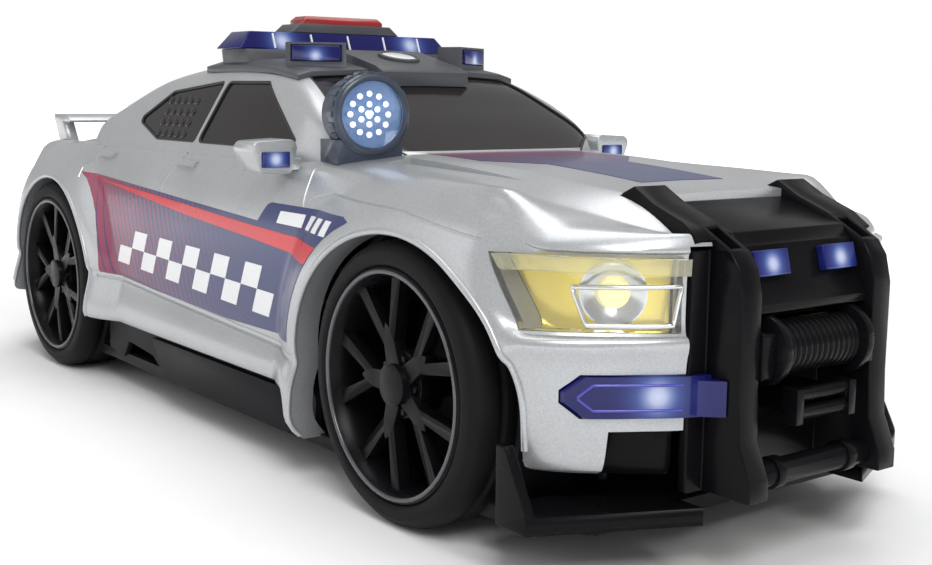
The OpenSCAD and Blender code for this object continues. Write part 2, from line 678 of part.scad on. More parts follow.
module speaker() color("#3c3d40") {
    translate([speaker_x, 0, floor_top + seat]) {
        cylinder(r = speaker_d / 2, h = 2.5);
        cylinder(r1 = speaker_d / 2 - 2, r2 = speaker_d / 4, h = 7);
        cylinder(r = speaker_d / 4 + 1, h = 12);
    }
}

board_z = bay_top + bay_wall + post_h + seat;

module circuit_board() color("#2f5d3a") {
    difference() {
        union() {
            block([bay_x - bay_len / 2 - 4, -bay_w / 2 + 0.5, board_z],
                [bay_x + bay_len / 2 + 4, bay_w / 2 - 0.5, board_z + board_t]);
            block([bay_x - 8, -6, board_z], [bay_x + 8, 6, board_z + board_t + 2.5]);
            for (y = [-14, 14]) translate([bay_x + 12, y, board_z]) cylinder(r = 3, h = board_t + 8);
        }
        for (x = [-1, 1], y = [-1, 1])
            translate([bay_x + x * (bay_len / 2 - 4), y * (bay_w / 2 - 4), board_z - over])
                cylinder(r = screw_r + 0.2, h = 3 * board_t);
    }
}

module board_screws() color("#9a9ca0") {
    for (x = [-1, 1], y = [-1, 1])
        translate([bay_x + x * (bay_len / 2 - 4), y * (bay_w / 2 - 4), board_z + board_t + seat + head_sink - 0.2])
            rotate([180, 0, 0]) screw(head_sink + board_t + post_h - 0.7);
}

module power_switch_body() color("#2a2a2c") {
    difference() {
        block([switch_x - 6, -7.5, floor_top + seat], [switch_x + switch_travel + 6, 7.5, floor_top + 6]);
        block([switch_x - 6 - over, -5, floor_top - over], [switch_x + switch_travel + 6 + over, 5, floor_top + 2]);
    }
}

module power_switch_knob() color("#d9d9d6") {
    block([switch_x - 4, -4.6, floor_top + 0.3], [switch_x + 4, 4.6, floor_top + 1.6]);
    block([switch_x - 2.5, -2.5, floor_z + 0.5], [switch_x + 2.5, 2.5, floor_top + 1]);
}

// Wheels, drawn with the outer face up and then laid over

module axle(x) color("#a7a9ac") {
    reach = tyre_face - 7;
    lying(x, axle_z, axle_d / 2, -reach, reach);
}
module front_axle() axle(front_axle_x);
module rear_axle() axle(rear_axle_x);

module lay_wheel(x, side) {
    translate([x, side * (tyre_face - tyre_w), axle_z]) rotate([-90 * side, 0, 0]) children();
}

// One forked spoke along +x
module spoke_outline() {
    reach = rim_d / 2 - 1.4;
    fork = reach * 0.46;
    spread = 180 / spokes * 0.5;
    polygon([[3, -2.4], [3, 2.4], [fork, 1.8], [fork + 2.4, 0], [fork, -1.8]]);
    for (side = [-1, 1]) {
        tip = [reach * cos(spread), side * reach * sin(spread)];
        polygon([[fork - 2, side * -0.4], [tip[0] + 0.5, tip[1] - side * 1.5],
            [tip[0] - 0.5, tip[1] + side * 1.5], [fork - 2, side * 2]]);
    }
}

module wheel() color("#17171a") {
    rim_r = rim_d / 2;
    face = tyre_w - 0.6;
    difference() {
        union() {
            // Barrel with an outer flange
            rotate_extrude($fn = 72) polygon([[rim_r - 3.2, 1], [rim_r - 1.2, 1], [rim_r - 1.2, tyre_w - 2.2],
                [rim_r, tyre_w - 2.2], [rim_r, face], [rim_r - 0.6, face + 0.5], [rim_r - 1.6, face],
                [rim_r - 2.6, face - 2], [rim_r - 3.2, face - 5]]);
            // Spokes, hub and nuts
            translate([0, 0, face - 5]) linear_extrude(3)
                for (i = [0:spokes - 1]) rotate(360 / spokes * i + 180) spoke_outline();
            translate([0, 0, face - 9.5]) cylinder(r = 7.4, h = 6);
            translate([0, 0, face - 5]) cylinder(r = 4.6, h = 4.4);
            translate([0, 0, 1]) cylinder(r = axle_d / 2 + 2.2, h = face - 6);
            for (i = [0:spokes - 1]) rotate(360 / spokes * (i + 0.5) + 180)
                translate([5.9, 0, face - 3.6]) cylinder(r = 0.9, h = 1.2, $fn = 6);
        }
        translate([0, 0, -over]) cylinder(r = axle_d / 2 + seat, h = tyre_w - 6.8 + over);
    }
}
module front_right_wheel() lay_wheel(front_axle_x, -1) wheel();
module front_left_wheel() lay_wheel(front_axle_x, 1) wheel();
module rear_right_wheel() lay_wheel(rear_axle_x, -1) wheel();
module rear_left_wheel() lay_wheel(rear_axle_x, 1) wheel();

module tyre() color("#111113") {
    r = tyre_d / 2;
    bead = rim_d / 2 + seat;
    rotate_extrude($fn = 72) polygon([[bead - 1.2, 1], [bead + 1, 0], [r - 2.4, 0.4], [r - 0.6, 1.8], [r, 4],
        [r, tyre_w / 2 - 4.6], [r - 0.8, tyre_w / 2 - 4.2], [r - 0.8, tyre_w / 2 - 3.2], [r, tyre_w / 2 - 2.8],
        [r, tyre_w / 2 + 2.8], [r - 0.8, tyre_w / 2 + 3.2], [r - 0.8, tyre_w / 2 + 4.2], [r, tyre_w / 2 + 4.6],
        [r, tyre_w - 4], [r - 0.6, tyre_w - 1.8], [r - 2.2, tyre_w - 0.3], [bead + 1, tyre_w], [bead, tyre_w - 0.6],
        [bead, tyre_w - 2.2 - seat], [bead - 1.2, tyre_w - 2.2 - seat]]);
}
module front_right_tyre() lay_wheel(front_axle_x, -1) tyre();
module front_left_tyre() lay_wheel(front_axle_x, 1) tyre();
module rear_right_tyre() lay_wheel(rear_axle_x, -1) tyre();
module rear_left_tyre() lay_wheel(rear_axle_x, 1) tyre();

// Body

module wheel_openings() {
    for (axle = [[front_axle_x, front_arch_stretch], [rear_axle_x, rear_arch_stretch]]) both_sides()
        translate([axle[0], 0, 0]) scale([axle[1], 1, 1]) {
            lying(0, axle_z, arch_r, half_w - wall - 4, half_w + flare_out + 5);
            block([-arch_r, -half_w - flare_out - 5, -over], [arch_r, wall + 4 - half_w, axle_z]);
        }
}

// Shallow recess behind a door handle
module handle_recess(x) {
    side_cut(-half_w - 3, 4.4 - half_w) polygon([[x - 6.5, shoulder_z + 0.9], [x + 6.5, shoulder_z + 1.3],
        [x + 3.4, shoulder_z + 3.6], [x - 1.2, shoulder_z + 4.1]]);
}

// Groove of a door joint, deep enough to reach the shoulder
door_line_depth = 0.6;
module door_line(points) {
    side_cut(-half_w - 4, door_line_depth - half_w) for (i = [0:len(points) - 2])
        hull() for (p = [points[i], points[i + 1]]) translate(p) circle(0.5, $fn = 8);
}

door_rear_x = rear_axle_x + rear_arch_l + 2;
door_front_x = front_axle_x - front_arch_l - 3;

module body_shell() color("#b4b7bb") {
    difference() {
        union() {
            difference() {
                union() {
                    body_solid(0, stations(tail_x, tail_corner_x, nose_corner_x, nose_x, 9, 46), true);
                    cabin_solid(0, cabin_foot_z - 2);
                }
                body_solid(wall, stations(tail_x + wall, tail_corner_x, nose_corner_x, nose_x - wall, 9, 6), false);
                cabin_solid(wall, cabin_foot_z - 8);
            }
            for (x = [boss_front_x, boss_rear_x], y = [-boss_y, boss_y])
                translate([x, y, floor_top + seat])
                    cylinder(r = boss_r, h = crown_z(x) - wall / 2 - floor_top, $fn = 16);
        }
        for (x = [boss_front_x, boss_rear_x], y = [-boss_y, boss_y])
            translate([x, y, 0]) cylinder(r = screw_r + 0.2, h = floor_z + 20, $fn = 16);
        wheel_openings();
        window_cuts(0);
        both_sides() {
            headlight_cut(0);
            fog_cut(0);
            grille_cut(0);
            tail_cut(0);
            handle_recess(pillar_x + 3);
            handle_recess(door_rear_x - 2);
            door_line([[pillar_x - 3, belt_z - 2], [pillar_x - 11, shoulder_z - 6], [pillar_x - 11, rocker_z]]);
            door_line([[door_front_x - 3, belt_z - 2], [door_front_x - 1, shoulder_z - 6],
                [door_front_x - 5, rocker_z]]);
            door_line([[door_rear_x - 9, belt_z - 3], [door_rear_x - 15, shoulder_z - 3],
                [door_rear_x - 14, shoulder_z - 6]]);
        }
        guard_pocket();
    }
}

module window_insert() color("#5a524c") {
    difference() {
        union() {
            difference() {
                cabin_solid(wall + seat, cabin_foot_z - 0.5);
                cabin_solid(wall + 1.4, cabin_foot_z - 2);
            }
            intersection() {
                difference() {
                    cabin_solid(0.5, cabin_foot_z);
                    cabin_solid(wall + 0.6, cabin_foot_z - 2);
                }
                window_cuts(fit);
            }
        }
        translate([-front_x, -half_w, cabin_foot_z - 9]) cube([2 * front_x, door_w, 10]);
    }
}

// Lamps in the body

module right_headlight_lens() color("#dfe6ea", 0.5) intersection() {
    nose_skin(0.2, 1.5, true);
    headlight_cut(fit);
}
module left_headlight_lens() mirror([0, 1, 0]) right_headlight_lens();
module right_headlight_reflector() color("#c9ccce") intersection() {
    nose_skin(wall + 1.2, wall + 2.4, false);
    headlight_cut(-0.6);
}
module left_headlight_reflector() mirror([0, 1, 0]) right_headlight_reflector();
module right_fog_lens() color("#3f48c8") difference() {
    union() {
        intersection() {
            nose_skin(-1, 1.2, true);
            fog_cut(fit);
        }
        // Inner end, standing out in front of the guard's wing
        translate([0, 0, fog_low_z + 0.8]) linear_extrude(fog_top_z - fog_low_z - 2.6)
            polygon([[wing_x + plate_t, -grille_half], [nose_x + 0.4, -grille_half],
                [nose_x + 4, -guard_half - 0.5], [wing_x + plate_t, -guard_half - 0.5]]);
    }
    block([wing_x - seat, -grille_half - seat, 0], [wing_x + plate_t + seat, 0, light_top_z]);
}
module left_fog_lens() mirror([0, 1, 0]) right_fog_lens();
module right_tail_lens() color("#a81a1c") intersection() {
    tail_skin(0.1, 1.5);
    tail_cut(fit);
}
module left_tail_lens() mirror([0, 1, 0]) right_tail_lens();
module bumper_grilles() color("#161618") both_sides() intersection() {
    nose_skin(wall + 0.3, wall + 1.5, false);
    grille_cut(-0.8);
    block([nose_corner_x, -half_w, floor_top], [nose_x, -grille_half - fit, fog_top_z]);
}

// Mirrors

mirror_x = screen_foot_x - 24;
mirror_z = belt_z + 0.2;
module right_mirror() color("#b4b7bb") difference() {
    union() {
        translate([mirror_x - 5, 0, 0]) rotate([90, 0, 90]) linear_extrude(10)
            rounded([[-half_w - 6, mirror_z + 1.6], [-half_w - 4.6, mirror_z - 2],
                [-half_w + 1, mirror_z - 2.4], [-half_w + 2, mirror_z + 2]], 2);
        block([mirror_x - 2, -half_w + 1, mirror_z - 3.4], [mirror_x + 5, -cabin_half - 0.3, mirror_z - 0.5]);
    }
    body_solid(-seat, [for (i = [-10:2:10]) mirror_x + i], true);
    block([mirror_x + 2.5, -half_w - 5.6, mirror_z - 2.6], [mirror_x + 6, -half_w + 2, mirror_z + 1]);
}
module left_mirror() mirror([0, 1, 0]) right_mirror();
module right_mirror_light() color("#3f48c8")
    block([mirror_x + 2.5 + seat, -half_w - 5.6 + seat, mirror_z - 2.6 + seat],
        [mirror_x + 5.4, -half_w + 2 - seat, mirror_z + 1 - seat]);
module left_mirror_light() mirror([0, 1, 0]) right_mirror_light();

// Spoiler

spoiler_x = tail_x + 34;
module spoiler() color("#b4b7bb") {
    low = boot_z + spoiler_gap;
    side_cut(-spoiler_w / 2, spoiler_w / 2) polygon([[spoiler_x - 9, low + 0.6], [spoiler_x - 8, low + 2.6],
        [spoiler_x + 3, low + 2.4], [spoiler_x + 7, low + 0.6], [spoiler_x + 6, low]]);
    both_sides() difference() {
        side_cut(-spoiler_w / 2, 4 - spoiler_w / 2) polygon([[spoiler_x - 8, low + 1], [spoiler_x - 1, low + 1],
            [spoiler_x + 9, boot_z - 8], [spoiler_x, boot_z - 8]]);
        body_solid(-seat, [for (i = [-16:2:16]) spoiler_x + i], true);
    }
}

// Front guard

module guard_frame() color("#18181a") {
    difference() {
        union() {
            both_sides() {
                side_cut(-guard_half, guard_t - guard_half) guard_side_outline();
                side_cut(-ear_half, guard_t - guard_half) guard_ear_outline();
                block([wing_x, -grille_half, guard_foot_z], [wing_x + plate_t, 1 - guard_half, light_top_z]);
            }
            block([plate_x, -guard_half + 1, guard_foot_z], [plate_x + plate_t, guard_half - 1, winch_z + 4]);
        }
        // Slot window through each slanted side plate
        both_sides() translate([nose_x - 1.2, -guard_half + guard_t / 2, bonnet_front_z - 7]) rotate([0, 28, 0])
            cube([7, guard_t - 2.4, 14], center = true);
    }
}
module guard_panel() color("#18181a") {
    side_cut(guard_t - guard_half + seat, guard_half - guard_t - seat) guard_panel_outline();
}
// Strobes lie on the slanted face of the panel
strobe_tilt = atan2(strobe_top - strobe_low, 1.8);
module strobe_lenses() color("#2b35c0") both_sides() {
    translate([strobe_x + 0.9, -10.3, (strobe_top + strobe_low) / 2]) rotate([0, strobe_tilt - 90, 0])
        block([seat, -5, -2.6], [2, 5, 2.4]);
}
module winch_drum() color("#1b1b1e") {
    step = 2 * winch_half / winch_turns;
    translate([winch_x, winch_half, winch_z]) rotate([90, 0, 0]) rotate_extrude()
        polygon(concat([[0, 0]],
            [for (i = [0:winch_turns - 1]) each [[winch_r - 0.7, step * i], [winch_r, step * (i + 0.3)],
                [winch_r, step * (i + 0.7)]]],
            [[winch_r - 0.7, 2 * winch_half], [0, 2 * winch_half]]));
    both_sides() lying(winch_x, winch_z, flange_r, winch_half, winch_half + flange_t);
}
module winch_housings() color("#18181a") both_sides() {
    block([plate_x + plate_t + seat, -guard_half + guard_t + seat, winch_z - 5],
        [winch_x + 4.4, -winch_half - flange_t - seat, winch_z + 4]);
}
module fairlead() color("#202023") {
    z = winch_z - flange_r - 3.4;
    block([plate_x + plate_t + seat, -7, z - 2.4], [front_x - 4.5, 7, z + 1.8]);
    both_sides() block([front_x - 4.6, -9, z - 3.8], [front_x - 0.6, -7, z + 3.2]);
    for (dz = [-2, 1.6]) lying(front_x - 2.6, z + dz, 1.4, -7.5, 7.5);
}
module guard_tube() color("#18181a") {
    lying(tube_x, tube_z, tube_r, -guard_half + guard_t + seat, guard_half - guard_t - seat);
    both_sides() lying(tube_x, tube_z, tube_r + 0.6, 9.5, 12);
}

// Lower front lip in two halves, lying on the edge of the floor
splitter_rear_x = front_axle_x + front_arch_l - 1;
module front_splitter() color("#161618") {
    low = floor_top + seat;
    outer = half_w + 4;
    both_sides() {
        translate([0, 0, low]) linear_extrude(3.6) polygon([[splitter_rear_x, -half_w + 8], [splitter_rear_x, -outer],
            [splitter_rear_x + 9, -outer], [nose_x + 1, -guard_half - 2], [nose_x - 10, -guard_half - 2]]);
        side_cut(-outer, 2.4 - outer) polygon([[splitter_rear_x, low + 1], [splitter_rear_x, sill_z + 6],
            [splitter_rear_x + 2.5, sill_z + 6], [splitter_rear_x + 9, low + 4], [splitter_rear_x + 9, low + 1]]);
    }
}

// Roof

module roof_rack() color("#55575b") difference() {
    union() {
        intersection() {
            cabin_solid(-1.4, cabin_foot_z);
            block([bar_x - 14, -cabin_half + 12, roof_z - 9], [roof_front_x + 2, cabin_half - 12, roof_z + 9]);
        }
        translate([bar_x, 0, roof_z - 6]) frustum([bar_d + 4, bar_w - 8], [bar_d, bar_w - 4], bar_z - roof_z + 6);
        // Siren nose over the windscreen
        side_cut(-14, 14) polygon([[bar_x + bar_d / 2 - 1, roof_z - 6], [bar_x + bar_d / 2 - 1, bar_z],
            [roof_front_x - 14, bar_z],
            [roof_front_x + 6, roof_z - 1.4], [roof_front_x + 9.5, roof_z - 3], [roof_front_x + 9.5, roof_z - 8]]);
        // Pod housings
        both_sides() pod_place() translate([-8, -8, -9]) cube([7.4, 16, 12.6]);
    }
    cabin_solid(-seat, cabin_foot_z);
    both_sides() pod_place() translate([-3, -pod_half, -1.4]) cube([6, 2 * pod_half, 4.4]);
}
// Frame of the right-hand pod: its lamp looks along local +x
pod_half = 6.8;
module pod_place() {
    translate([roof_front_x - 4, -cabin_half + 21, roof_z + 1]) rotate([0, 0, -28]) children();
}
module right_pod_lens() color("#2b35c0")
    pod_place() translate([-3 + seat, -pod_half + fit, -1.4 + fit])
        cube([3, 2 * pod_half - 2 * fit, 4.4 - 2 * fit]);
module left_pod_lens() mirror([0, 1, 0]) right_pod_lens();

module light_bar_lens() color("#3038c4") {
    translate([bar_x, 0, bar_z + seat]) difference() {
        frustum([bar_d, bar_w], [bar_d - 4, bar_w - 8], bar_h - seat);
        translate([0, 0, -0.01]) frustum([bar_d - 2 * bar_wall, bar_w - 2 * bar_wall],
            [bar_d - 4 - bar_wall, bar_w - 8 - bar_wall], bar_h - bar_wall);
    }
}
module light_bar_board() color("#e8e8e4") {
    translate([bar_x, 0, bar_z + seat]) {
        block([-bar_d / 2 + 2.6, -bar_w / 2 + 4, 0], [bar_d / 2 - 2.6, bar_w / 2 - 4, 1]);
        for (y = [-0.34, -0.17, 0.17, 0.34]) translate([0, y * bar_w, 0]) cylinder(r = 1.6, h = 2.8);
    }
}
module light_bar_collar() color("#4a4c50") {
    translate([bar_x, 0, bar_top + seat]) difference() {
        frustum([bar_d - 4, button_w + 10], [button_len + 2, button_w + 4], collar_h);
        translate([0, 0, collar_h / 2]) cube([button_len + 0.7, button_w + 0.7, 2 * collar_h], center = true);
    }
}
module press_button() color("#b3262a") {
    translate([bar_x, 0, button_low]) {
        block([-button_len / 2, -button_w / 2, 0], [button_len / 2, button_w / 2, button_h - 1.2]);
        translate([0, 0, button_h - 1.2]) frustum([button_len, button_w], [button_len - 2, button_w - 2.4], 1.2);
    }
}
module button_dome() color("#d8d4cc") {
    translate([bar_x, 0, bar_top + seat]) cylinder(r1 = 3, r2 = 2, h = button_low - bar_top - 2 * seat);
}

// Spotlight, drawn along +x

spot_x = screen_foot_x - 8;
spot_y = -cabin_half + 11;
spot_z = belt_z + 10.4;
spot_yaw = -10;
module spot_place() {
    translate([spot_x, spot_y, spot_z]) rotate([0, 0, spot_yaw]) rotate([0, 90, 0]) children();
}
module spotlight_housing() color("#5d6470") difference() {
    union() {
        spot_place() difference() {
            rotate_extrude() polygon([[0, -9], [spot_d / 2 - 2.5, -8], [spot_d / 2 - 0.8, -6],
                [spot_d / 2 - 0.8, -1], [spot_d / 2, -0.5],
                [spot_d / 2, 4], [spot_d / 2 - 1.6, 4.4], [0, 4.4]]);
            cylinder(r = spot_d / 2 - 1.6, h = 10);
        }
        translate([spot_x - 2, spot_y, belt_z - 6]) rotate([0, 0, spot_yaw])
            block([-5.5, -spot_d * 0.43, 0], [5.5, spot_d * 0.43, spot_z - belt_z]);
    }
    spot_place() cylinder(r = spot_d / 2 - 1.6, h = 10);
    body_solid(-seat, [spot_x - 20, spot_x - 10, spot_x, spot_x + 10, spot_x + 20], true);
    cabin_solid(-seat, cabin_foot_z);
}
module spotlight_reflector() color("#d5d9de") spot_place() {
    translate([0, 0, seat]) cylinder(r = spot_d / 2 - 1.6 - seat, h = 1);
    for (ringed = [[1, 0], [6, 2.3], [12, 4.7]]) for (i = [0:ringed[0] - 1])
        rotate(360 / ringed[0] * i) translate([ringed[1], 0, 0.5]) cylinder(r = 0.65, h = 1.4, $fn = 16);
}
module spotlight_lens() color("#c8d4e8", 0.5) spot_place() {
    translate([0, 0, 2.6]) cylinder(r = spot_d / 2 - 1.6 - seat, h = 1.2);
}

chassis_base();
front_axle();
rear_axle();
front_right_wheel();
front_left_wheel();
rear_right_wheel();
rear_left_wheel();
front_right_tyre();
front_left_tyre();
rear_right_tyre();
rear_left_tyre();
battery_door();
battery_door_screw();
battery_cells();
battery_contacts();
speaker();
circuit_board();
board_screws();
power_switch_body();
power_switch_knob();
chassis_screws();
body_shell();
window_insert();
spoiler();
right_headlight_lens();
left_headlight_lens();
right_headlight_reflector();
left_headlight_reflector();
right_fog_lens();
left_fog_lens();
right_tail_lens();
left_tail_lens();
right_mirror();
left_mirror();
right_mirror_light();
left_mirror_light();
guard_frame();
guard_panel();
strobe_lenses();
winch_drum();
winch_housings();
fairlead();
guard_tube();
front_splitter();
bumper_grilles();
roof_rack();
right_pod_lens();
left_pod_lens();
light_bar_lens();
light_bar_collar();
light_bar_board();
press_button();
button_dome();
spotlight_housing();
spotlight_reflector();
spotlight_lens();
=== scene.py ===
"""Looks of a toy police car: smooth body, lamps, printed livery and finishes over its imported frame."""

from __future__ import annotations

import logging
import math
from dataclasses import dataclass, replace
from enum import Enum
from itertools import product
from typing import Sequence

import bmesh
import bpy
import numpy as np
from bpy.types import Material, Mesh, Node, NodeSocket, NodeTree, Object
from mathutils import Matrix, Quaternion, Vector


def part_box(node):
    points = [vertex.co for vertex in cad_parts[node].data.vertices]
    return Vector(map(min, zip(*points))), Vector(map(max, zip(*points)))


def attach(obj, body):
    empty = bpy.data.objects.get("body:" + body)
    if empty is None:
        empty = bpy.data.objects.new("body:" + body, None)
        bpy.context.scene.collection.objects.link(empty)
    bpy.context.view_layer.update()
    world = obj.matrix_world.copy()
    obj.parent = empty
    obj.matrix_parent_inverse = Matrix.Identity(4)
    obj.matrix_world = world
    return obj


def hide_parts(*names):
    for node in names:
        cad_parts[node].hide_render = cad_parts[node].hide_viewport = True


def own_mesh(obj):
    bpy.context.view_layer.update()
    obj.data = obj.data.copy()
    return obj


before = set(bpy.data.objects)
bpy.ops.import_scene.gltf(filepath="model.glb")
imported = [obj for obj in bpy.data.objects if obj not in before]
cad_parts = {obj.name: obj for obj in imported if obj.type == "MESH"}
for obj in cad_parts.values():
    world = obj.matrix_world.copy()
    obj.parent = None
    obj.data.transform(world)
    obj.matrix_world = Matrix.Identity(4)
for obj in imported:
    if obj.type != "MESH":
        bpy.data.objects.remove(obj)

LOG = logging.getLogger("police_car")
MM = 0.001
BODY = "car_body"
CLEAR_Z = 140.0
MERGE_GAP = 1e-7
WELD_GAP = 1e-6
THIN_EDGE = 1e-8
EDGE_ANGLE = 35.0
EDGE_STEPS = 2
COAT_ROUGH = 0.12
BUMP_HEIGHT = 0.0001
HALO_GAIN = 0.75
HEART_REACH = 0.42
HEART_GAIN = 2.2
PALE_SHARE = 0.35
PALE_BASE = 0.62
DOME_SEGMENTS = 20
DOME_RINGS = 12
Values = np.ndarray | float
Flat = tuple[float, float]
Row = tuple[Flat, ...]
Place = tuple[float, float, float]
Colour = tuple[float, float, float]


# Choices


class Side(Enum):
    """Sides of the car, by the sign of their y."""

    RIGHT = -1
    LEFT = 1

    @property
    def label(self) -> str:
        """Side's name as the pieces hold it."""
        return self.name.lower()


class End(Enum):
    """Ends of the car."""

    FRONT = "front"
    REAR = "rear"


class Cut(Enum):
    """Ways to combine solids."""

    AWAY = "DIFFERENCE"
    JOIN = "UNION"
    COMMON = "INTERSECT"


# Numbers and curves


def smooth(t: Values) -> np.ndarray:
    """Soft step from 0 to 1."""
    u = np.clip(t, 0.0, 1.0)
    return u * u * (3.0 - 2.0 * u)


def ramp(x: Values, start: float, end: float) -> np.ndarray:
    """Soft step of x between two places."""
    return smooth((np.asarray(x, float) - start) / (end - start))


def mix(a: Values, b: Values, t: Values) -> Values:
    """Straight mix of two values."""
    return a + (b - a) * t


def curve(x: Values, points: Sequence[Flat]) -> np.ndarray:
    """Smooth curve through points in rising order, level beyond its ends.

    Args:
        x: Places along the curve.
        points: Pairs of place and height.

    Returns:
        Heights at x.
    """
    p = np.asarray(points, float)
    last = len(p) - 1
    ahead = np.minimum(np.arange(len(p)) + 1, last)
    behind = np.maximum(np.arange(len(p)) - 1, 0)
    slope = (p[ahead, 1] - p[behind, 1]) / (p[ahead, 0] - p[behind, 0])
    u = np.clip(np.asarray(x, float), p[0, 0], p[last, 0])
    i = np.clip(np.searchsorted(p[:, 0], u, side="right") - 1, 0, last - 1)
    h = p[i + 1, 0] - p[i, 0]
    t = (u - p[i, 0]) / h
    return ((2 * t**3 - 3 * t**2 + 1) * p[i, 1] + (t**3 - 2 * t**2 + t) * h * slope[i]
            + (3 * t**2 - 2 * t**3) * p[i + 1, 1] + (t**3 - t**2) * h * slope[i + 1])


def cut_corners(rows: np.ndarray, times: int = 2, share: float = 0.22) -> np.ndarray:
    """Rounds the corners of open lines, keeping their ends.

    Args:
        rows: Lines as an array of shape (lines, points, values).
        times: How often the corners are cut.
        share: Part of each segment taken off at its ends.

    Returns:
        Finer lines of the same kind.
    """
    for _ in range(times):
        a, b = rows[:, :-1], rows[:, 1:]
        pair = np.stack([a + (b - a) * share, b + (a - b) * share], axis=2)
        between = pair.reshape(len(rows), -1, rows.shape[2])
        rows = np.concatenate([rows[:, :1], between, rows[:, -1:]], axis=1)
    return rows


def split_segments(rows: np.ndarray, step: float) -> np.ndarray:
    """Adds points along the long segments of lines, the same ones on each line.

    Args:
        rows: Lines as an array of shape (lines, points, values).
        step: Largest mean length of a segment, measured on the first two values.

    Returns:
        Lines of the same shape with more points.
    """
    size = np.linalg.norm(np.diff(rows[:, :, :2], axis=1), axis=2).mean(axis=0)
    out = []
    for i, length in enumerate(size):
        n = max(1, math.ceil(length / step))
        out += [mix(rows[:, i], rows[:, i + 1], k / n) for k in range(n)]
    return np.stack([*out, rows[:, -1]], axis=1)


def left_turn(a: Flat, b: Flat, c: Flat) -> float:
    """How far the way from a over b to c turns to the left."""
    return (b[0] - a[0]) * (c[1] - a[1]) - (b[1] - a[1]) * (c[0] - a[0])


def hull_side(row: Sequence[Flat]) -> list[Flat]:
    """One side of the hull round some points.

    Args:
        row: Points in rising order, or in falling order for the other side.

    Returns:
        Points of that side without the last one.
    """
    out: list[Flat] = []
    for point in row:
        while len(out) > 1 and left_turn(out[-2], out[-1], point) <= 0:
            out.pop()
        out.append(point)
    return out[:-1]


def round_outline(points: Sequence[Flat], radius: float, steps: int = 40) -> list[Flat]:
    """Outline that a disc sweeps out over the hull of its centre points.

    Args:
        points: Centre points.
        radius: Radius of the disc.
        steps: Points on a full circle.

    Returns:
        Points of the outline.
    """
    angles = np.linspace(0, 2 * math.pi, steps, endpoint=False)
    cloud = sorted({(round(x + radius * math.cos(a), 6), round(z + radius * math.sin(a), 6))
                    for x, z in points for a in angles})
    return hull_side(cloud) + hull_side(cloud[::-1])


def stations(rear: float, rear_from: float, front_from: float, front: float,
             ends: int, steps: int) -> np.ndarray:
    """Places along the car, closer together towards its ends.

    Args:
        rear: Rearmost place.
        rear_from: Place behind which they get closer.
        front_from: Place ahead of which they get closer.
        front: Foremost place.
        ends: Number of steps at each end.
        steps: Number of steps between the ends.

    Returns:
        Places in rising order.
    """
    a = np.linspace(0, math.pi / 2, ends + 1)
    return np.concatenate([rear_from - (rear_from - rear) * np.cos(a[:-1]),
                           np.linspace(rear_from, front_from, steps + 1),
                           front_from + (front - front_from) * np.sin(a[1:])])


# Body form


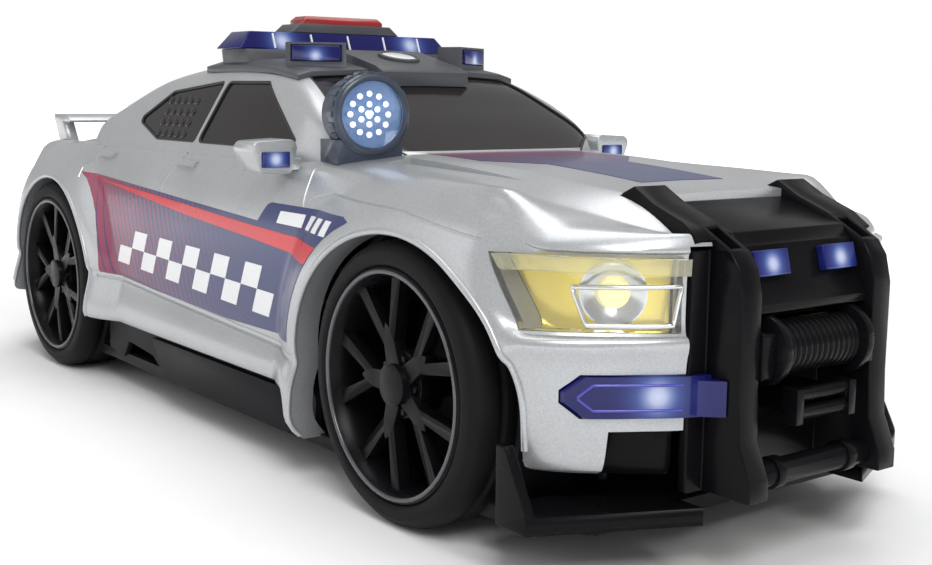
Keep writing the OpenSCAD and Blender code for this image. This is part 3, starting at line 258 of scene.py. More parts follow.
@dataclass(frozen=True)
class CarForm:
    """Sizes of the body and cabin in millimetres, and the surfaces they make."""

    front_x: float = 165.0
    nose_x: float = 155.0
    nose_corner_x: float = 116.0
    tail_x: float = -165.0
    tail_corner_x: float = -139.0
    half_w: float = 53.0
    nose_half: float = 16.0
    tail_half: float = 38.0
    door_bow: float = 1.0
    front_axle_x: float = 94.5
    rear_axle_x: float = -108.5
    axle_z: float = 31.0
    arch_r: float = 32.6
    front_stretch: float = 1.19
    rear_stretch: float = 1.06
    flare_out: float = 4.6
    flare_w: float = 13.0
    flap_drop: float = 10.5
    sill_z: float = 21.0
    rocker_z: float = 36.0
    shoulder_z: float = 71.0
    belt_z: float = 77.0
    bonnet_z: float = 73.0
    boot_z: float = 75.5
    roof_z: float = 101.0
    cabin_half: float = 47.5
    screen_foot_x: float = 62.5
    roof_front_x: float = 18.5
    rear_foot_x: float = -106.0
    roof_rear_x: float = -56.0
    lean: float = 0.5
    cowl_half: float = 10.0
    rear_half: float = 28.0
    round_front: float = 30.0
    round_rear: float = 20.0
    wall: float = 2.0
    light_low_z: float = 48.0
    light_top_z: float = 64.0
    fog_low_z: float = 32.0
    fog_top_z: float = 41.5
    guard_half: float = 22.5
    grille_half: float = 27.0
    ear_half: float = 26.0
    rocker_fall: float = 0.048
    fall_from_x: float = -70.0
    fall_l: float = 125.0
    fine: float = 2.2
    deck: Row = ((0.72, 0.0), (0.685, 0.06), (0.515, 0.88), (0.49, 0.93), (0.0, 1.0))

    @property
    def pillar_x(self) -> float:
        """Middle pillar of the cabin."""
        return (self.roof_rear_x + self.roof_front_x) / 2 + 1

    @property
    def front_arch_l(self) -> float:
        """Half length of the front wheel opening."""
        return self.arch_r * self.front_stretch

    @property
    def rear_arch_l(self) -> float:
        """Half length of the rear wheel opening."""
        return self.arch_r * self.rear_stretch

    def crown(self, x: Values) -> np.ndarray:
        """Height of the deck on the centre line."""
        t, b = self.tail_x, self.boot_z
        return curve(x, [(t, self.rocker_z + 4), (t + 8, b - 19), (t + 17, b - 8), (t + 25, b - 1),
                         (t + 34, b), (self.rear_foot_x, b + 1), (self.screen_foot_x, self.belt_z + 1),
                         (self.nose_x - 20, self.bonnet_z + 0.6), (self.nose_x, self.bonnet_z - 5)])

    def edge(self, x: Values) -> np.ndarray:
        """Height of the deck's side edge."""
        t, b = self.tail_x, self.boot_z
        return curve(x, [(t, self.rocker_z + 3), (t + 8, b - 20), (t + 17, b - 9.5), (t + 25, b - 3),
                         (t + 34, b - 1.5), (self.rear_foot_x, b - 0.5), (self.pillar_x, self.belt_z),
                         (self.screen_foot_x, self.belt_z - 0.5),
                         (self.front_axle_x + 10, self.bonnet_z + 0.4), (self.nose_x - 20, self.bonnet_z - 4),
                         (self.nose_x, self.bonnet_z - 8.5)])

    def plan(self, x: np.ndarray, off: float) -> np.ndarray:
        """Half width of the body.

        Args:
            x: Places along the car.
            off: Depth below the outer surface.

        Returns:
            Half widths at x.
        """
        f = np.clip((x - self.nose_corner_x) / (self.nose_x - off - self.nose_corner_x), 0, 1)
        r = np.clip((self.tail_corner_x - x) / (self.tail_corner_x - self.tail_x - off), 0, 1)
        half = self.half_w - off
        nose, tail = self.nose_half - off / 2, self.tail_half - off / 2
        return np.minimum(nose + (half - nose) * np.sqrt(1 - f * f),
                          tail + (half - tail) * np.sqrt(1 - r * r)) - self.bow(x)

    def bow(self, x: np.ndarray) -> np.ndarray:
        """Inward bow of the sides towards the ends."""
        return self.door_bow * (x / self.front_x) ** 2

    def squeeze(self, x: np.ndarray) -> np.ndarray:
        """How far the side levels are pressed down towards the tail."""
        t = self.tail_x
        return curve(x, [(t, 0.4), (t + 8, 0.65), (t + 17, 0.85), (t + 26, 0.97), (t + 40, 1),
                         (self.nose_x, 1)])

    def flap(self, x: np.ndarray) -> np.ndarray:
        """How far the sill hangs down behind the front wheel."""
        end = self.front_axle_x - self.front_arch_l
        return np.where(x > self.front_axle_x, 0.0, self.flap_drop * ramp(x, end - 4.6, end - 3.4))

    def axle(self, end: End) -> Flat:
        """Place of an axle along the car and the stretch of its wheel opening."""
        front = self.front_axle_x, self.front_stretch
        return front if end is End.FRONT else (self.rear_axle_x, self.rear_stretch)

    def flare(self, x: np.ndarray, z: np.ndarray) -> np.ndarray:
        """How far the wheel arches stand out.

        Args:
            x: Places along the car.
            z: Heights on its side.

        Returns:
            Distances out from the plain side.
        """
        out = np.zeros(np.broadcast(x, z).shape)
        for axle, stretch in map(self.axle, End):
            dx = np.abs(x - axle) / stretch
            r = np.where(z > self.axle_z, np.hypot(dx, z - self.axle_z), dx)
            t = np.clip((r - self.arch_r) / self.flare_w, 0, 1)
            out = np.maximum(out, np.cos(t * math.pi / 2))
        return self.flare_out * out

    def section(self, x: np.ndarray, off: float = 0.0, flared: bool = True) -> np.ndarray:
        """Right half of the body's sections, from the sill up to the centre line.

        Args:
            x: Places along the car.
            off: Depth below the outer surface.
            flared: Whether the wheel arches stand out.

        Returns:
            Array of shape (places, points, 2) of half width and height.
        """
        s, k, b = self.sill_z, self.rocker_z, self.shoulder_z
        door = [(s, -3), (s + 0.8, 1.6), (s + 6, 1.2), (k, -1.2), (k + 1.4, 0), ((k + b) / 2 - 2, 0.4),
                (b - 10, 0), (b - 4, -1), (b, -3), (self.belt_z - 1.8, -5.4)]
        low, top = self.light_low_z, self.light_top_z
        nose = [(s, -4), (s + 1, -2), (self.fog_low_z - 1, -1.4), (self.fog_top_z + 1, -0.8),
                (low - 2.6, 1.2), (low - 0.8, 0.8), (low, -2.4), (top - 1, -1.8), (top, 0.2), (b - 3.4, -4)]
        n = ramp(x, self.nose_corner_x + 4, self.nose_corner_x + 18)
        w, bow = self.plan(x, off), self.bow(x)
        rows = []
        fall = self.rocker_fall * np.clip(x - self.fall_from_x, 0, self.fall_l)
        for i, (side, front) in enumerate(zip(door, nose)):
            level = mix(side[0] - (fall if i in (3, 4) else 0.0), front[0], n)
            out = mix(side[1], front[1], n) - bow * (level - s) / (self.belt_z - s)
            z = s + (level - s) * self.squeeze(x) - max(off, 0.0) * ramp(level, b - 16, b + 4)
            hang = self.flap(x) * (3 - i) / 3 if i < 3 else 0.0
            if i == 0 and off > 0:
                rows.append([w + out - 4 * bow, np.full_like(x, s - self.flap_drop - 1), np.ones_like(x)])
            else:
                rows.append([w + out, z - hang, np.ones_like(x)])
        for share, rise in self.deck:
            rows.append([share * w, mix(self.edge(x), self.crown(x), rise) - off, np.zeros_like(x)])
        line = split_segments(cut_corners(np.asarray(rows).transpose(2, 0, 1)), self.fine)
        if flared:
            line[:, :, 0] += self.flare(x[:, None], line[:, :, 1]) * line[:, :, 2]
        return line[:, :, :2]

    def side_y(self, x: np.ndarray, z: np.ndarray, off: float = 0.0) -> np.ndarray:
        """Half width of the body's side.

        Args:
            x: Places along the car.
            z: Heights on its side.
            off: Depth below the outer surface.

        Returns:
            Half widths at those places.
        """
        x, z = np.broadcast_arrays(np.asarray(x, float), np.asarray(z, float))
        out = np.empty(x.size)
        lines = self.section(x.ravel(), off)
        for i, (line, level) in enumerate(zip(lines, z.ravel())):
            top = int(np.argmax(line[:, 0] < 0.75 * line[:, 0].max())) or len(line)
            out[i] = np.interp(level, np.maximum.accumulate(line[:top, 1]), line[:top, 0])
        return out.reshape(x.shape)

    def nose_at(self, y: float, z: float, off: float = 0.0) -> float:
        """Place along the car where the nose's surface is a given way out from the centre line."""
        x = np.linspace(self.nose_corner_x, self.nose_x - off, 240)
        return float(np.interp(-abs(y), -self.side_y(x, np.full(len(x), z), off), x))

    def deck_z(self, x: np.ndarray, y: np.ndarray) -> np.ndarray:
        """Height of the bonnet or boot.

        Args:
            x: Places along the car.
            y: Places across it.

        Returns:
            Heights at those places.
        """
        x, y = np.broadcast_arrays(np.asarray(x, float), np.abs(np.asarray(y, float)))
        lines = self.section(x.ravel(), 0.0)
        out = [np.interp(v, line[::-1, 0][: len(line) // 2], line[::-1, 1][: len(line) // 2])
               for line, v in zip(lines, y.ravel())]
        return np.asarray(out).reshape(x.shape)

    def roof_line(self, x: Values) -> np.ndarray:
        """Height of the cabin on the centre line.

        Args:
            x: Places along the car.

        Returns:
            Heights at x.
        """
        low = self.belt_z - 1
        high = self.roof_z - low
        rear, front = self.roof_rear_x, self.roof_front_x
        return curve(x, [(self.rear_foot_x - 2, low), ((self.rear_foot_x + rear) / 2, low + 0.5 * high),
                         (rear, low + 0.86 * high), ((rear + front) / 2, self.roof_z),
                         (front, low + 0.88 * high), ((front + self.screen_foot_x) / 2, low + 0.5 * high),
                         (self.screen_foot_x + 2, low)])

    def cabin_section(self, x: np.ndarray, off: float = 0.0, foot: float = 73.0) -> np.ndarray:
        """Right half of the cabin's sections, from its foot up to the centre line.

        Args:
            x: Places along the car.
            off: Depth below the outer surface.
            foot: Height of the foot.

        Returns:
            Array of shape (places, points, 2) of half width and height.
        """
        front, rear = self.screen_foot_x + 2 - off, self.rear_foot_x - 2 + off
        ahead, behind = self.screen_foot_x - self.round_front, self.rear_foot_x + self.round_rear
        f = np.clip((x - ahead) / (front - ahead), 0, 1)
        r = np.clip((behind - x) / (behind - rear), 0, 1)
        half = self.cabin_half - off
        w = np.minimum(self.cowl_half + (half - self.cowl_half) * np.sqrt(1 - f * f),
                       self.rear_half + (half - self.rear_half) * np.sqrt(1 - r * r))
        base = self.belt_z - 2
        top = self.roof_line(x) - off
        h = top - base
        rail = w - self.lean * 0.8 * h
        one = np.ones_like(x)
        rows = [[w, foot * one], [w, base * one], [w - self.lean * 0.4 * h, base + 0.42 * h],
                [w - self.lean * 0.72 * h, base + 0.76 * h], [rail - 2.2, base + 0.9 * h],
                [rail * 0.8, base + 0.962 * h], [rail * 0.45, base + 0.99 * h], [0 * one, top]]
        return cut_corners(np.asarray(rows).transpose(2, 0, 1))

    def cabin_y(self, x: np.ndarray, z: np.ndarray, off: float = 0.0) -> np.ndarray:
        """Half width of the cabin's side.

        Args:
            x: Places along the car.
            z: Heights on its side.
            off: Depth below the outer surface.

        Returns:
            Half widths at those places.
        """
        x, z = np.broadcast_arrays(np.asarray(x, float), np.asarray(z, float))
        lines = self.cabin_section(x.ravel(), off)
        out = [np.interp(level, np.maximum.accumulate(line[:, 1]), line[:, 0])
               for line, level in zip(lines, z.ravel())]
        return np.asarray(out).reshape(x.shape)

    def cabin_z(self, x: np.ndarray, y: np.ndarray, off: float = 0.0) -> np.ndarray:
        """Height of the roof and screens.

        Args:
            x: Places along the car.
            y: Places across it.
            off: Depth below the outer surface.

        Returns:
            Heights at those places.
        """
        x, y = np.broadcast_arrays(np.asarray(x, float), np.abs(np.asarray(y, float)))
        lines = self.cabin_section(x.ravel(), off)
        out = [np.interp(v, np.maximum.accumulate(line[::-1, 0]), line[::-1, 1])
               for line, v in zip(lines, y.ravel())]
        return np.asarray(out).reshape(x.shape)


CAR = CarForm()


# Mesh making


class Stock:
    """Collects closed solids and strips, in millimetres, into one mesh."""

    def __init__(self) -> None:
        """Starts empty."""
        self.verts: list[tuple[float, float, float]] = []
        self.faces: list[tuple[int, ...]] = []

    def add(self, verts: np.ndarray | Sequence, faces: Sequence[Sequence[int]]) -> "Stock":
        """Adds points and the faces between them.

        Args:
            verts: Points in millimetres.
            faces: Faces by the points' numbers.

        Returns:
            The stock itself.
        """
        base = len(self.verts)
        self.verts += [tuple(map(float, v)) for v in verts]
        self.faces += [tuple(base + int(i) for i in f) for f in faces]
        return self

    def loft(self, x: np.ndarray, lines: np.ndarray) -> "Stock":
        """Solid through half sections that are mirrored over the centre line.

        Args:
            x: Places of the sections.
            lines: Half sections as given by the car's form.

        Returns:
            The stock itself.
        """
        m, n = lines.shape[:2]
        right = np.stack([np.repeat(x[:, None], n, 1), -lines[:, :, 0], lines[:, :, 1]], axis=2)
        left = right[:, -2::-1] * np.array([1, -1, 1])
        rings = np.concatenate([right, left], axis=1)
        n = rings.shape[1]
        ends = rings[[0, -1], :, 2]
        middles = np.stack([x[[0, -1]], [0, 0], (ends.min(1) + ends.max(1)) / 2], axis=1)
        faces: list[tuple[int, ...]] = []
        for i in range(m - 1):
            for j in range(n):
                k = (j + 1) % n
                faces.append((i * n + j, i * n + n + j, i * n + n + k, i * n + k))
        faces += [((j + 1) % n, m * n, j) for j in range(n)]
        faces += [((m - 1) * n + j, m * n + 1, (m - 1) * n + (j + 1) % n) for j in range(n)]
        return self.add(np.concatenate([rings.reshape(-1, 3), middles]), faces)

    def prism(self, outline: Sequence[Flat], axis: str, low: float, high: float) -> "Stock":
        """Solid of an outline drawn across one axis and pulled along it.

        Args:
            outline: Corner points on the two other axes, in their x, y, z order.
            axis: Axis to pull along.
            low: Start on that axis.
            high: End on that axis.

        Returns:
            The stock itself.
        """
        i = "xyz".index(axis)
        flip = 1 if axis == "y" else 0
        area = sum(a[0] * b[1] - b[0] * a[1] for a, b in zip(outline, list(outline[1:]) + [outline[0]]))
        row = list(outline) if (area > 0) != bool(flip) else list(outline)[::-1]
        n = len(row)
        verts = [[*p[:i], level, *p[i:]] for level in (low, high) for p in row]
        faces = [tuple(range(n - 1, -1, -1)), tuple(range(n, 2 * n))]
        faces += [(j, (j + 1) % n, n + (j + 1) % n, n + j) for j in range(n)]
        return self.add(verts, faces)

    def box(self, low: Sequence[float], high: Sequence[float]) -> "Stock":
        """Block between its lowest and its highest corner."""
        faces = [(0, 1, 3, 2), (4, 6, 7, 5), (0, 4, 5, 1), (2, 3, 7, 6), (0, 2, 6, 4), (1, 5, 7, 3)]
        return self.add([Vector(corner) for corner in product(*zip(low, high))], faces)

    def tube(self, path: np.ndarray | Sequence, radius: float, closed: bool = False, sides: int = 8,
             across: Sequence[float] = (0, 1, 0)) -> "Stock":
        """Round rod along a path.

        Args:
            path: Points of the middle line.
            radius: Half thickness.
            closed: Whether the rod joins its own start.
            sides: Number of sides.
            across: Direction that the section's first axis leans to.

        Returns:
            The stock itself.
        """
        p = np.asarray(path, float)
        m = len(p)
        step = (np.roll(p, -1, 0) - np.roll(p, 1, 0)) if closed else np.gradient(p, axis=0)
        step /= np.linalg.norm(step, axis=1)[:, None]
        side = np.cross(step, np.asarray(across, float))
        side /= np.linalg.norm(side, axis=1)[:, None]
        lift = np.cross(side, step)
        a = np.linspace(0, 2 * math.pi, sides, endpoint=False)
        around = np.cos(a)[None, :, None] * side[:, None] + np.sin(a)[None, :, None] * lift[:, None]
        rings = p[:, None] + radius * around
        faces = []
        for i in range(m if closed else m - 1):
            k = (i + 1) % m
            faces += [(i * sides + j, k * sides + j, k * sides + (j + 1) % sides, i * sides + (j + 1) % sides)
                      for j in range(sides)]
        if not closed:
            faces += [tuple(range(sides)), tuple((m - 1) * sides + j for j in range(sides - 1, -1, -1))]
        return self.add(rings.reshape(-1, 3), faces)

    def spin(self, profile: Sequence[Flat], place: Matrix, sides: int = 48) -> "Stock":
        """Solid of a profile turned about the local z axis of a place.

        Args:
            profile: Pairs of radius and height.
            place: Place and turn, in millimetres.
            sides: Number of sides.

        Returns:
            The stock itself.
        """
        n = len(profile)
        verts = [place @ Vector((r * math.cos(a), r * math.sin(a), h))
                 for a in np.linspace(0, 2 * math.pi, sides, endpoint=False) for r, h in profile]
        pairs = [(i * n, (i + 1) % sides * n) for i in range(sides)]
        faces = [(a + j, b + j, b + (j + 1) % n, a + (j + 1) % n) for a, b in pairs for j in range(n)]
        return self.add(verts, faces)

    def mirrored(self) -> "Stock":
        """Adds the same solids on the car's other side."""
        flipped = [(x, -y, z) for x, y, z in self.verts]
        return self.add(flipped, [f[::-1] for f in list(self.faces)])

    def mesh(self, name: str) -> Mesh:
        """Mesh of the stock in metres with its faces turned outwards.

        Args:
            name: Name of the mesh.

        Returns:
            The mesh.
        """
        data = bpy.data.meshes.new(name)
        data.from_pydata([(x * MM, y * MM, z * MM) for x, y, z in self.verts], [], self.faces)
        bm = bmesh.new()
        bm.from_mesh(data)
        bmesh.ops.remove_doubles(bm, verts=bm.verts, dist=MERGE_GAP)
        bmesh.ops.dissolve_degenerate(bm, edges=bm.edges, dist=THIN_EDGE)
        bmesh.ops.recalc_face_normals(bm, faces=bm.faces)
        bm.to_mesh(data)
        bm.free()
        return data

    def scratch(self, name: str) -> Object:
        """Object of the stock for cutting with."""
        return link(bpy.data.objects.new(name, self.mesh(name)))


def link(obj: Object) -> Object:
    """Puts an object in the scene."""
    bpy.context.scene.collection.objects.link(obj)
    return obj


def bake(obj: Object) -> None:
    """Replaces an object's mesh by the result of its modifiers and removes them.

    Args:
        obj: Object with modifiers.
    """
    graph = bpy.context.evaluated_depsgraph_get()
    data = bpy.data.meshes.new_from_object(obj.evaluated_get(graph))
    old = obj.data
    obj.modifiers.clear()
    obj.data = data
    data.name = obj.name
    bpy.data.meshes.remove(old)


def combine(obj: Object, tools: Sequence[Object], how: Cut = Cut.AWAY) -> Object:
    """Combines an object with each tool in turn and removes the tools.

    Args:
        obj: Object to change.
        tools: Solids to combine it with.
        how: Whether they are cut away, joined or kept in common.

    Returns:
        The changed object.
    """
    for tool in tools:
        mod = obj.modifiers.new(tool.name, "BOOLEAN")
        mod.operation = how.value
        mod.solver = "MANIFOLD"
        mod.object = tool
    bake(obj)
    for tool in tools:
        data = tool.data
        bpy.data.objects.remove(tool)
        bpy.data.meshes.remove(data)
    return obj


def shade(data: Mesh, angle: float) -> None:
    """Smooth shading with sharp edges above an angle in degrees."""
    data.polygons.foreach_set("use_smooth", [True] * len(data.polygons))
    data.set_sharp_from_angle(angle=math.radians(angle))


def add_piece(obj: Object, finish: Material, body: str = BODY,
              replaces: Sequence[str] = (), angle: float = 32.0, bevel: float = 0.0) -> None:
    """Dresses a new piece and hands it to the frame.

    Args:
        obj: Piece in its place.
        finish: Material for it.
        body: Body that it moves with.
        replaces: Nodes that it stands for.
        angle: Edges sharper than this stay sharp.
        bevel: Width of rounded edges in millimetres.
    """
    obj.data.materials.clear()
    obj.data.materials.append(finish)
    shade(obj.data, angle)
    if bevel > 0:
        round_edges(obj, bevel)
    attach(obj, body)
    if replaces:
        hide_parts(*replaces)
    LOG.info("piece %s: %d faces", obj.name, len(obj.data.polygons))


def round_edges(obj: Object, width: float, weld: bool = False) -> None:
    """Adds rounded edges as modifiers.

    Args:
        obj: Piece or node.
        width: Width of the rounding in millimetres.
        weld: Whether loose triangles are joined first.
    """
    if weld:
        obj.modifiers.new("join", "WELD").merge_threshold = WELD_GAP
    mod = obj.modifiers.new("edges", "BEVEL")
    mod.width = width * MM
    mod.segments = EDGE_STEPS
    mod.limit_method = "ANGLE"
    mod.angle_limit = math.radians(EDGE_ANGLE)
    mod.use_clamp_overlap = True
    mod.harden_normals = True
    for poly in obj.data.polygons:
        poly.use_smooth = True


def dress_node(name: str, finish: Material, width: float = 0.0) -> None:
    """Gives a node of the frame its finish and rounded edges.

    Args:
        name: Node of the frame.
        finish: Material for it.
        width: Width of the rounding in millimetres.
    """
    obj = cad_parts[name]
    obj.data.materials.clear()
    obj.data.materials.append(finish)
    if width > 0:
        round_edges(obj, width, weld=True)
    LOG.info("node %s in %s", name, finish.name)


# Finishes


@dataclass(frozen=True)
class Finish:
    """One moulded or painted surface."""

    name: str
    colour: Colour
    rough: float = 0.4
    swing: float = 0.06
    metal: float = 0.0
    coat: float = 0.0
    grain: float = 1800.0
    depth: float = 0.02
    tone: float = 0.05
    transmission: float = 0.0
    ior: float = 1.5
    glow: Colour = (0.0, 0.0, 0.0)
    glow_strength: float = 0.0
    shine: float = 0.5

    def named(self, name: str) -> Finish:
        """The same surface under another name."""
        return replace(self, name=name)


class Pen:
    """Adds and joins nodes in one tree."""

    def __init__(self, tree: NodeTree) -> None:
        """Keeps the tree."""
        self.tree = tree

    def node(self, kind: str, **values: object) -> Node:
        """Adds a node.

        Args:
            kind: Blender's name for it.
            values: Its settings, and a socket or value for each input that a key names.

        Returns:
            The node.
        """
        made = self.tree.nodes.new(kind)
        for key, value in values.items():
            if hasattr(made, key):
                setattr(made, key, value)
            else:
                self.feed(made.inputs[key.replace("_", " ")], value)
        return made

    def join(self, start: NodeSocket, end: NodeSocket) -> None:
        """Joins an output to an input."""
        self.tree.links.new(start, end)

    def feed(self, end: NodeSocket, value: object) -> None:
        """Joins a socket to an input, or sets the input to a number or colour.

        Args:
            end: The input.
            value: Socket, number or colour.
        """
        if isinstance(value, NodeSocket):
            self.join(value, end)
        else:
            end.default_value = value if isinstance(value, (int, float)) else (*value, 1.0)

    def maths(self, how: str, a: object, b: object = 0.0, clamp: bool = False) -> NodeSocket:
        """Result of a sum.

        Args:
            how: Kind of sum.
            a: First socket or number.
            b: Second socket or number.
            clamp: Whether the result stays between 0 and 1.

        Returns:
            Socket with the result.
        """
        made = self.node("ShaderNodeMath", operation=how, use_clamp=clamp)
        self.feed(made.inputs[0], a)
        self.feed(made.inputs[1], b)
        return made.outputs[0]

    def blend(self, share: object, first: object, second: object, how: str = "MIX") -> NodeSocket:
        """Blend of two colours.

        Args:
            share: Socket or number for the second colour's share.
            first: Socket or colour.
            second: Socket or colour.
            how: Kind of blend.

        Returns:
            Socket with the colour.
        """
        made = self.node("ShaderNodeMix", data_type="RGBA", blend_type=how)
        for number, value in ((0, share), (6, first), (7, second)):
            self.feed(made.inputs[number], value)
        return made.outputs[2]


def new_group(name: str, inputs: Sequence[tuple[str, str, object]],
              outputs: Sequence[tuple[str, str]]) -> tuple[Pen, Node, Node]:
    """Starts a shader node group with named sockets.

    Args:
        name: Name of the group.
        inputs: Name, kind and value of each input.
        outputs: Name and kind of each output.

    Returns:
        Pen on the group, its input node and its output node.
    """
    tree = bpy.data.node_groups.new(name, "ShaderNodeTree")
    for label, kind, value in inputs:
        made = tree.interface.new_socket(label, in_out="INPUT", socket_type=kind)
        if value is not None:
            made.default_value = value
    for label, kind in outputs:
        tree.interface.new_socket(label, in_out="OUTPUT", socket_type=kind)
    pen = Pen(tree)
    return pen, pen.node("NodeGroupInput"), pen.node("NodeGroupOutput")


def grain_group() -> NodeTree:
    """Fine moulded grain with a slow change of tone.

    Returns:
        The node group.
    """
    pen, start, end = new_group("moulded_grain",
                                [("Vector", "NodeSocketVector", None), ("Scale", "NodeSocketFloat", 1800.0)],
                                [("Height", "NodeSocketFloat"), ("Tone", "NodeSocketFloat")])
    place = start.outputs["Vector"]
    fine = pen.node("ShaderNodeTexNoise", Detail=3.0, Roughness=0.6, Vector=place,
                    Scale=start.outputs["Scale"])
    slow = pen.node("ShaderNodeTexNoise", Scale=38.0, Detail=4.0, Roughness=0.55, Vector=place)
    pen.join(fine.outputs["Fac"], end.inputs["Height"])
    spread = pen.node("ShaderNodeMapRange", From_Min=0.3, From_Max=0.7, Value=slow.outputs["Fac"])
    pen.join(spread.outputs["Result"], end.inputs["Tone"])
    return pen.tree


def flake_group() -> NodeTree:
    """Small bright flakes of a metallic paint.

    Returns:
        The node group.
    """
    pen, start, end = new_group("paint_flake",
                                [("Vector", "NodeSocketVector", None), ("Scale", "NodeSocketFloat", 4200.0)],
                                [("Flake", "NodeSocketFloat"), ("Height", "NodeSocketFloat")])
    cells = pen.node("ShaderNodeTexVoronoi", Randomness=1.0, Vector=start.outputs["Vector"],
                     Scale=start.outputs["Scale"])
    split = pen.node("ShaderNodeSeparateColor", Color=cells.outputs["Color"])
    pen.join(split.outputs["Red"], end.inputs["Flake"])
    pen.join(split.outputs["Green"], end.inputs["Height"])
    return pen.tree


def hatch_group() -> NodeTree:
    """Slanted print lines that fade out along the car.

    Returns:
        The node group.
    """
    pen, start, end = new_group("hatch_fade",
                                [("Vector", "NodeSocketVector", None), ("Pitch", "NodeSocketFloat", 0.003),
                                 ("Lean", "NodeSocketFloat", 0.35), ("From", "NodeSocketFloat", -0.09),
                                 ("To", "NodeSocketFloat", 0.0)],
                                [("Mask", "NodeSocketFloat")])
    split = pen.node("ShaderNodeSeparateXYZ", Vector=start.outputs["Vector"])
    lean = pen.maths("MULTIPLY", split.outputs["Z"], start.outputs["Lean"])
    slant = pen.maths("ADD", split.outputs["X"], lean)
    wave = pen.maths("FRACT", pen.maths("DIVIDE", slant, start.outputs["Pitch"]))
    off_line = pen.maths("ABSOLUTE", pen.maths("SUBTRACT", wave, 0.5))
    line = pen.maths("SUBTRACT", 1.0, pen.maths("MULTIPLY", off_line, 2.0))
    fade = pen.node("ShaderNodeMapRange", To_Min=1.0, To_Max=0.0, Value=split.outputs["X"],
                    From_Min=start.outputs["From"], From_Max=start.outputs["To"])
    wide = pen.maths("ADD", pen.maths("MULTIPLY", fade.outputs["Result"], 1.15), -0.1)
    gap = pen.maths("SUBTRACT", wide, line)
    mask = pen.node("ShaderNodeMapRange", From_Min=-0.12, From_Max=0.12, Value=gap)
    pen.join(pen.maths("MULTIPLY", mask.outputs["Result"], fade.outputs["Result"]), end.inputs["Mask"])
    return pen.tree


def glow_group() -> NodeTree:
    """Soft spot of light round a point, for lenses with a lamp behind them.

    Returns:
        The node group.
    """
    pen, start, end = new_group("lamp_glow",
                                [("Vector", "NodeSocketVector", None), ("Centre", "NodeSocketVector", None),
                                 ("Reach", "NodeSocketFloat", 0.008)],
                                [("Mask", "NodeSocketFloat")])
    gap = pen.node("ShaderNodeVectorMath", operation="DISTANCE")
    pen.join(start.outputs["Vector"], gap.inputs[0])
    pen.join(start.outputs["Centre"], gap.inputs[1])
    share = pen.maths("DIVIDE", gap.outputs["Value"], start.outputs["Reach"])
    near = pen.maths("SUBTRACT", 1.0, share, clamp=True)
    pen.join(pen.maths("POWER", near, 2.0), end.inputs["Mask"])
    return pen.tree


Surface = tuple[Material, Pen, Node, Node, NodeSocket]


